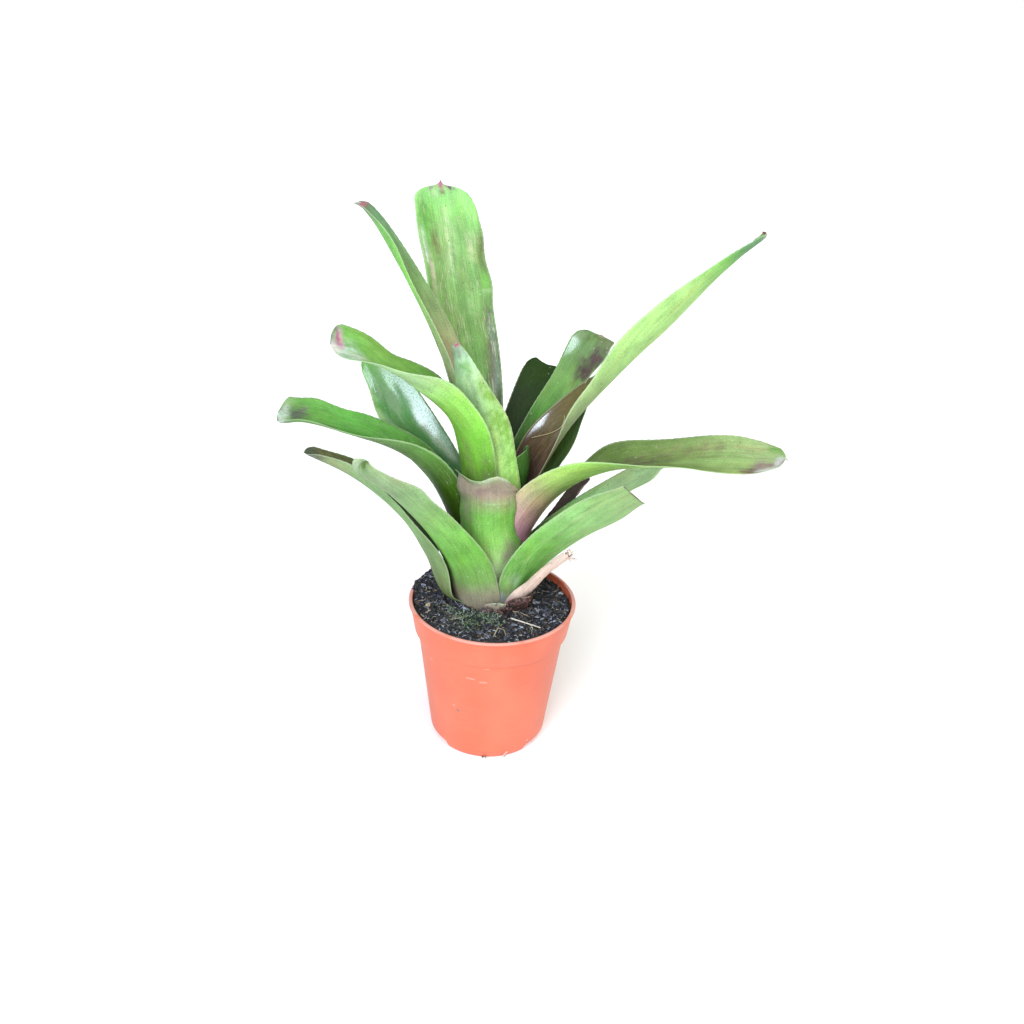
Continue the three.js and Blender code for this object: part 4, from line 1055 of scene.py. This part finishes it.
def ball(level):
    """Points and triangles of a unit icosphere."""
    bpy.ops.mesh.primitive_ico_sphere_add(subdivisions=level, radius=1)
    made = bpy.context.object
    mesh = made.data
    points = np.array([v.co for v in mesh.vertices])
    faces = np.array([tuple(p.vertices) for p in mesh.polygons])
    bpy.data.objects.remove(made)
    bpy.data.meshes.remove(mesh)
    return points, faces


def on_peat(count, inner):
    """Seeded random places on the peat, outside a circle round the crown."""
    outer = float(wall_radius(SOIL_LEVEL)) - PEAT["edge"]
    places = []
    while len(places) < count:
        x, y = RNG.uniform(-outer, outer, 2)
        if x * x + y * y < outer**2 and (x - CROWN[0]) ** 2 + (y - CROWN[1]) ** 2 > inner**2:
            places.append((x, y))
    return np.array(places)


def rim_places(count):
    """Seeded random places on the pot's lip, beside the heap."""
    angles = np.radians(RNG.uniform(*LIP_CRUMBS["headings"], count))
    deep, near = LIP_CRUMBS["inside"]
    radii = RNG.uniform(POT["rim"] - deep, POT["rim"] - near, count)
    return np.stack([radii * np.cos(angles), radii * np.sin(angles)], -1)


def pick(tints, shares=None):
    """One of the tints, drawn by their shares."""
    return tints[RNG.choice(len(tints), p=shares)]


def crumbs_piece():
    """Loose, ragged crumbs of peat over the whole top, a few of them on the lip."""
    points, faces, tints = [], [], []
    start = 0
    for level, count, low, high in CRUMBS["sizes"]:
        shape, triangles = ball(level)
        places = np.vstack([on_peat(count, CRUMBS["inner"]), rim_places(count // LIP_CRUMBS["one_in"])])
        for x, y in places:
            size = RNG.uniform(low, high) * np.array([RNG.uniform(*span) for span in CRUMBS["form"]])
            spin, tip = RNG.uniform(0, CRUMBS["spin"]), RNG.uniform(-CRUMBS["tip"], CRUMBS["tip"])
            turn = np.array(Matrix.Rotation(spin, 3, "Z") @ Matrix.Rotation(tip, 3, "X"))
            ragged = np.sin(shape @ RNG.uniform(-CRUMBS["rough"], CRUMBS["rough"], 3) + RNG.uniform(0, 6))
            dents = 1 + CRUMBS["dent"] * ragged * RNG.uniform(0.5, 1)
            body = (shape * dents[:, None] * size) @ turn.T
            on_lip = math.hypot(x, y) > POT["rim"] - LIP_CRUMBS["lip"]
            ground = POT["height"] if on_lip else peat_height(x, y)
            points.append(body + np.array([x, y, ground + RNG.uniform(*CRUMBS["stand"]) * size[2]]))
            faces.append(triangles + start)
            start += len(shape)
            shade = linear(pick(PEAT_TINTS, PEAT_SHARES))
            tints.append(np.tile(shade * RNG.uniform(*CRUMBS["tone"]), (len(shape), 1)))
    piece = mesh_piece("peat_crumbs", np.vstack(points), np.vstack(faces).tolist(), peat_finish("peat_crumb"),
                       [tint_layer(np.vstack(tints))], CRUMBS["crease"])
    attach(piece, "root")
    return piece


class Strands:
    """Thin tubes gathered into one mesh."""

    def __init__(self):
        self.points, self.faces, self.tints = [], [], []

    def add(self, path, radius, colour, sides, steps, taper=0.4):
        """A tube along the curve through the path's points, thinner by the taper at its end."""
        t = np.linspace(0, 1, steps)
        line = spline(path, t)
        tangent = unit(np.gradient(line, axis=0))
        upright = abs(tangent[0][2]) >= 0.8
        across = unit(np.cross(tangent, (1.0, 0.0, 0.0) if upright else (0.0, 0.0, 1.0)))
        up = np.cross(tangent, across)
        width = radius * (1 - taper * t)
        base = len(self.points)
        for k in range(steps):
            for a in np.linspace(0, 2 * math.pi, sides, endpoint=False):
                self.points.append(line[k] + width[k] * (math.cos(a) * across[k] + math.sin(a) * up[k]))
        for k in range(steps - 1):
            ring = base + k * sides
            for j in range(sides):
                n = (j + 1) % sides
                self.faces.append((ring + j, ring + sides + j, ring + sides + n, ring + n))
        self.faces.append(tuple(base + j for j in range(sides)))
        self.faces.append(tuple(base + (steps - 1) * sides + j for j in reversed(range(sides))))
        self.tints += [linear(colour)] * (steps * sides)

    def piece(self, name, finish, slot):
        """The mesh of all tubes so far."""
        made = mesh_piece(name, self.points, self.faces, finish, [tint_layer(self.tints)])
        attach(made, "root")
        return made


def over_peat(path, lift):
    """A path of (x, y) places, laid over the peat."""
    return [on_top(x, y, lift) for x, y in path]


def shreds_piece():
    """Short shreds of fibre all over the peat, most of them dark."""
    strands = Strands()
    for x, y in on_peat(SHREDS["count"], SHREDS["inner"]):
        heading, long = RNG.uniform(0, 2 * math.pi), RNG.uniform(*SHREDS["long"])
        step = np.array([math.cos(heading), math.sin(heading), RNG.uniform(*SHREDS["slope"])]) * long / 2
        middle = on_top(x, y, RNG.uniform(*SHREDS["lift"]))
        bend = RNG.normal(0, SHREDS["bend"], 3)
        colour = pick(SHRED_TINTS, SHRED_SHARES)
        path = [middle - step, middle + bend, middle + step]
        strands.add(path, RNG.uniform(*SHREDS["radius"]), colour, 4, 4)
    return strands.piece("peat_shreds", fibre_finish("peat_shred"), "soil")


def on_leaf(name, spots, lift):
    """Places just off a blade's inner face, each given as its share of the length and its cross place."""
    number, leaf = next((n, leaf) for n, leaf in enumerate(LEAVES) if leaf.name == name)
    point, normal, _, _, share, cross = leaf_surface(leaf, number + 1)
    places = []
    for along, across in spots:
        row, column = np.abs(share[:, 0] - along).argmin(), np.abs(cross[0] - across).argmin()
        places.append(point[row, column] + normal[row, column] * lift)
    return places


def roots_piece():
    """Roots and twigs on the peat, threads on two leaves, and the ends that hang out of the bottom slots."""
    strands = Strands()
    for path, lift, radius, tint, sides, steps in ROOTS:
        strands.add(over_peat(path, lift), radius, ROOT_TINTS[tint], sides, steps)
    for x, y in on_peat(TWIGS["count"], TWIGS["inner"]):
        heading, long = RNG.uniform(0, 2 * math.pi), RNG.uniform(*TWIGS["long"])
        step = np.array([math.cos(heading), math.sin(heading)]) * long / 2
        bend = RNG.normal(0, TWIGS["bend"], 2)
        path = [(x - step[0], y - step[1]), (x + bend[0], y + bend[1]), (x + step[0], y + step[1])]
        if max(math.hypot(*place) for place in path) < TWIGS["outer"]:
            colour = ROOT_TINTS[pick(TWIGS["tints"])]
            path = over_peat(path, RNG.uniform(*TWIGS["lift"]))
            strands.add(path, RNG.uniform(*TWIGS["radius"]), colour, 5, 10)
    for name, spots, lift, radius, tint, steps in THREADS:
        strands.add(on_leaf(name, spots, lift), radius, ROOT_TINTS[tint], 6, steps)
    for path, radius, tint, sides, steps in HANGING_ROOTS:
        strands.add(path, radius, ROOT_TINTS[tint], sides, steps)
    return strands.piece("roots_and_twigs", fibre_finish("root"), "stem")


def scrap_piece():
    """A dry scrap of leaf on the peat."""
    (cx, cy), (rx, ry) = SCRAP["at"], SCRAP["radii"]
    turn = np.radians(np.linspace(0, 360, SCRAP["sides"], endpoint=False))
    ragged = 1 + 0.22 * np.sin(3 * turn + 0.6) + 0.12 * np.sin(5 * turn)
    lift = SCRAP["lift"]
    upper = [on_top(cx + rx * r * math.cos(a), cy + ry * r * math.sin(a), lift + 0.5 * math.sin(4 * a))
             for a, r in zip(turn, ragged)]
    under = [point - (0, 0, SCRAP["thickness"]) for point in upper]
    points = [*upper, *under, *(on_top(cx, cy, lift) for lift in SCRAP["middle"])]
    n, faces = len(turn), []
    for k in range(n):
        m = (k + 1) % n
        faces += [(2 * n, k, m), (2 * n + 1, n + m, n + k), (k, n + k, n + m, m)]
    tint = np.tile(linear(SCRAP["tint"]), (len(points), 1)) * RNG.uniform(*SCRAP["tone"], (len(points), 1))
    piece = mesh_piece("leaf_scrap", points, faces, fibre_finish("scrap"), [tint_layer(tint)])
    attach(piece, "root")
    return piece


def moss_piece():
    """Sprigs of moss in a few clumps at the front."""
    strands = Strands()
    for cx, cy, wide, deep, count in MOSS_AT:
        for _ in range(count):
            foot = on_top(cx + RNG.normal(0, wide / 2), cy + RNG.normal(0, deep / 2), MOSS["lift"])
            heading, tall = RNG.uniform(0, 2 * math.pi), RNG.uniform(*MOSS["tall"])
            lean = np.array([math.cos(heading), math.sin(heading), 0]) * RNG.uniform(*MOSS["lean"])
            middle = foot + 0.3 * lean + (0, 0, 0.8 * tall)
            tip = foot + lean + (0, 0, tall)
            strands.add([foot, middle, tip], RNG.uniform(*MOSS["radius"]), pick(MOSS_TINTS), 4, 6)
    return strands.piece("moss", fibre_finish("moss_sprig"), "leaf")


def stub_end_piece():
    """The curled ring and the frayed fibres at the end of the withered stub."""
    strands = Strands()
    end = np.array(STUB_END["at"])
    turn, curl = np.radians(np.linspace(-40, 290, 9)), STUB_END["curl"]
    ring = [end + (-1.5 + curl * math.cos(a), -1.0, 2.6 + curl * math.sin(a)) for a in turn]
    strands.add(ring, 0.7, STUB_END["pale"], 8, 26, 0.3)
    for k in range(STUB_END["fibres"]):
        spread = RNG.normal(0, 1, 3)
        foot = end + spread * 1.2 - (1.2, -0.8, 1.2)
        path = [foot, foot + (2, -1.2, 1.4) + 0.4 * spread, foot + (3.4, -2, 1.6) + 1.1 * spread]
        strands.add(path, RNG.uniform(0.2, 0.45), STUB_END["pale" if k % 3 else "dark"], 5, 8)
    return strands.piece("stub_end", fibre_finish("frayed_end"), "withered")


# ---- build ----

live, dry = leaf_finish(), withered_finish()
for number, leaf in enumerate(LEAVES):
    leaf_piece(leaf, number + 1, dry if leaf.dry else live)
pot_piece()
peat_piece()
crumbs_piece()
shreds_piece()
roots_piece()
scrap_piece()
moss_piece()
stub_end_piece()

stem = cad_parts["stem"]
stem.data.materials.clear()
stem.data.materials.append(withered_finish())

# ---- camera, light and floor ----

VIEW = dict(
    pitch=27.0, roll=2.9, place=(11.0, -638.2, 507.0), focal=1040.0, frame=1024.0, sensor=36.0, near=10.0,
)
FLOOR = 300.0  # half a side, in metres
ROOM = ((0.03, (1, 1, 1, 1)), (0.25, (0.42, 0.42, 0.41, 1)))  # white at the horizon, grey above
# name, compass direction, height, width of the disc, strength, colour
SUNS = [
    ("room", -48, 52, 90, 2.3, (1.03, 0.99, 0.93)),
    ("window", -114, 33, 41, 3.2, (0.86, 1.0, 1.15)),
]


def camera():
    """A camera in front of the plant and above it, tipped down and rolled a little."""
    pitch, roll = math.radians(VIEW["pitch"]), math.radians(VIEW["roll"])
    ahead = Vector((0, math.cos(pitch), -math.sin(pitch)))
    level = Vector((1, 0, 0))
    above = level.cross(ahead)
    right = level * math.cos(roll) + above * math.sin(roll)
    up = above * math.cos(roll) - level * math.sin(roll)
    data = bpy.data.cameras.new("camera")
    data.sensor_width = VIEW["sensor"]
    data.lens = VIEW["sensor"] * VIEW["focal"] / VIEW["frame"]
    data.clip_start = VIEW["near"] * MM
    made = put("camera", data)
    turn = Matrix((right, up, -ahead)).transposed().to_4x4()
    made.matrix_world = Matrix.Translation(Vector(VIEW["place"]) * MM) @ turn
    bpy.context.scene.camera = made


def soft_sun(name, azimuth, height, spread, strength, colour):
    """A far, even soft light: compass direction, height above the floor and width of its disc, in degrees."""
    data = bpy.data.lights.new(name, "SUN")
    data.angle, data.energy, data.color = math.radians(spread), strength, colour
    a, h = math.radians(azimuth), math.radians(height)
    towards = Vector((math.cos(h) * math.cos(a), math.cos(h) * math.sin(a), math.sin(h)))
    put(name, data).rotation_euler = (-towards).to_track_quat("-Z", "Y").to_euler()


def floor():
    """A wide white table under the pot."""
    mesh = bpy.data.meshes.new("floor")
    corners = [(-FLOOR, -FLOOR, 0), (FLOOR, -FLOOR, 0), (FLOOR, FLOOR, 0), (-FLOOR, FLOOR, 0)]
    mesh.from_pydata(corners, [], [(0, 1, 2, 3)])
    f = new_finish("floor")
    tone = f.noise(f.where(), 3, 2).rises(0.3, 0.7)
    paint = f.mix(tone, (0.93, 0.93, 0.93, 1), (0.95, 0.95, 0.95, 1))
    mesh.materials.append(f.surface(base_color=paint, roughness=0.95))
    made = put("floor", mesh)


def lighting():
    """An even grey room with a white band at its horizon, and soft window light from the front."""
    f = Finish(bpy.data.worlds.new("studio"), "Background")
    height = f.node("ShaderNodeSeparateXYZ", None, {0: f.node("ShaderNodeTexCoord", out="Generated")}, "Z")
    band = f.node("ShaderNodeValToRGB", {"stops": ROOM}, {0: height})
    bpy.context.scene.world = f.surface(color=band, strength=1.0)
    for light in SUNS:
        soft_sun(*light)


camera()
floor()
lighting()
bpy.context.scene.view_settings.view_transform = "Standard"

bpy.context.view_layer.update()
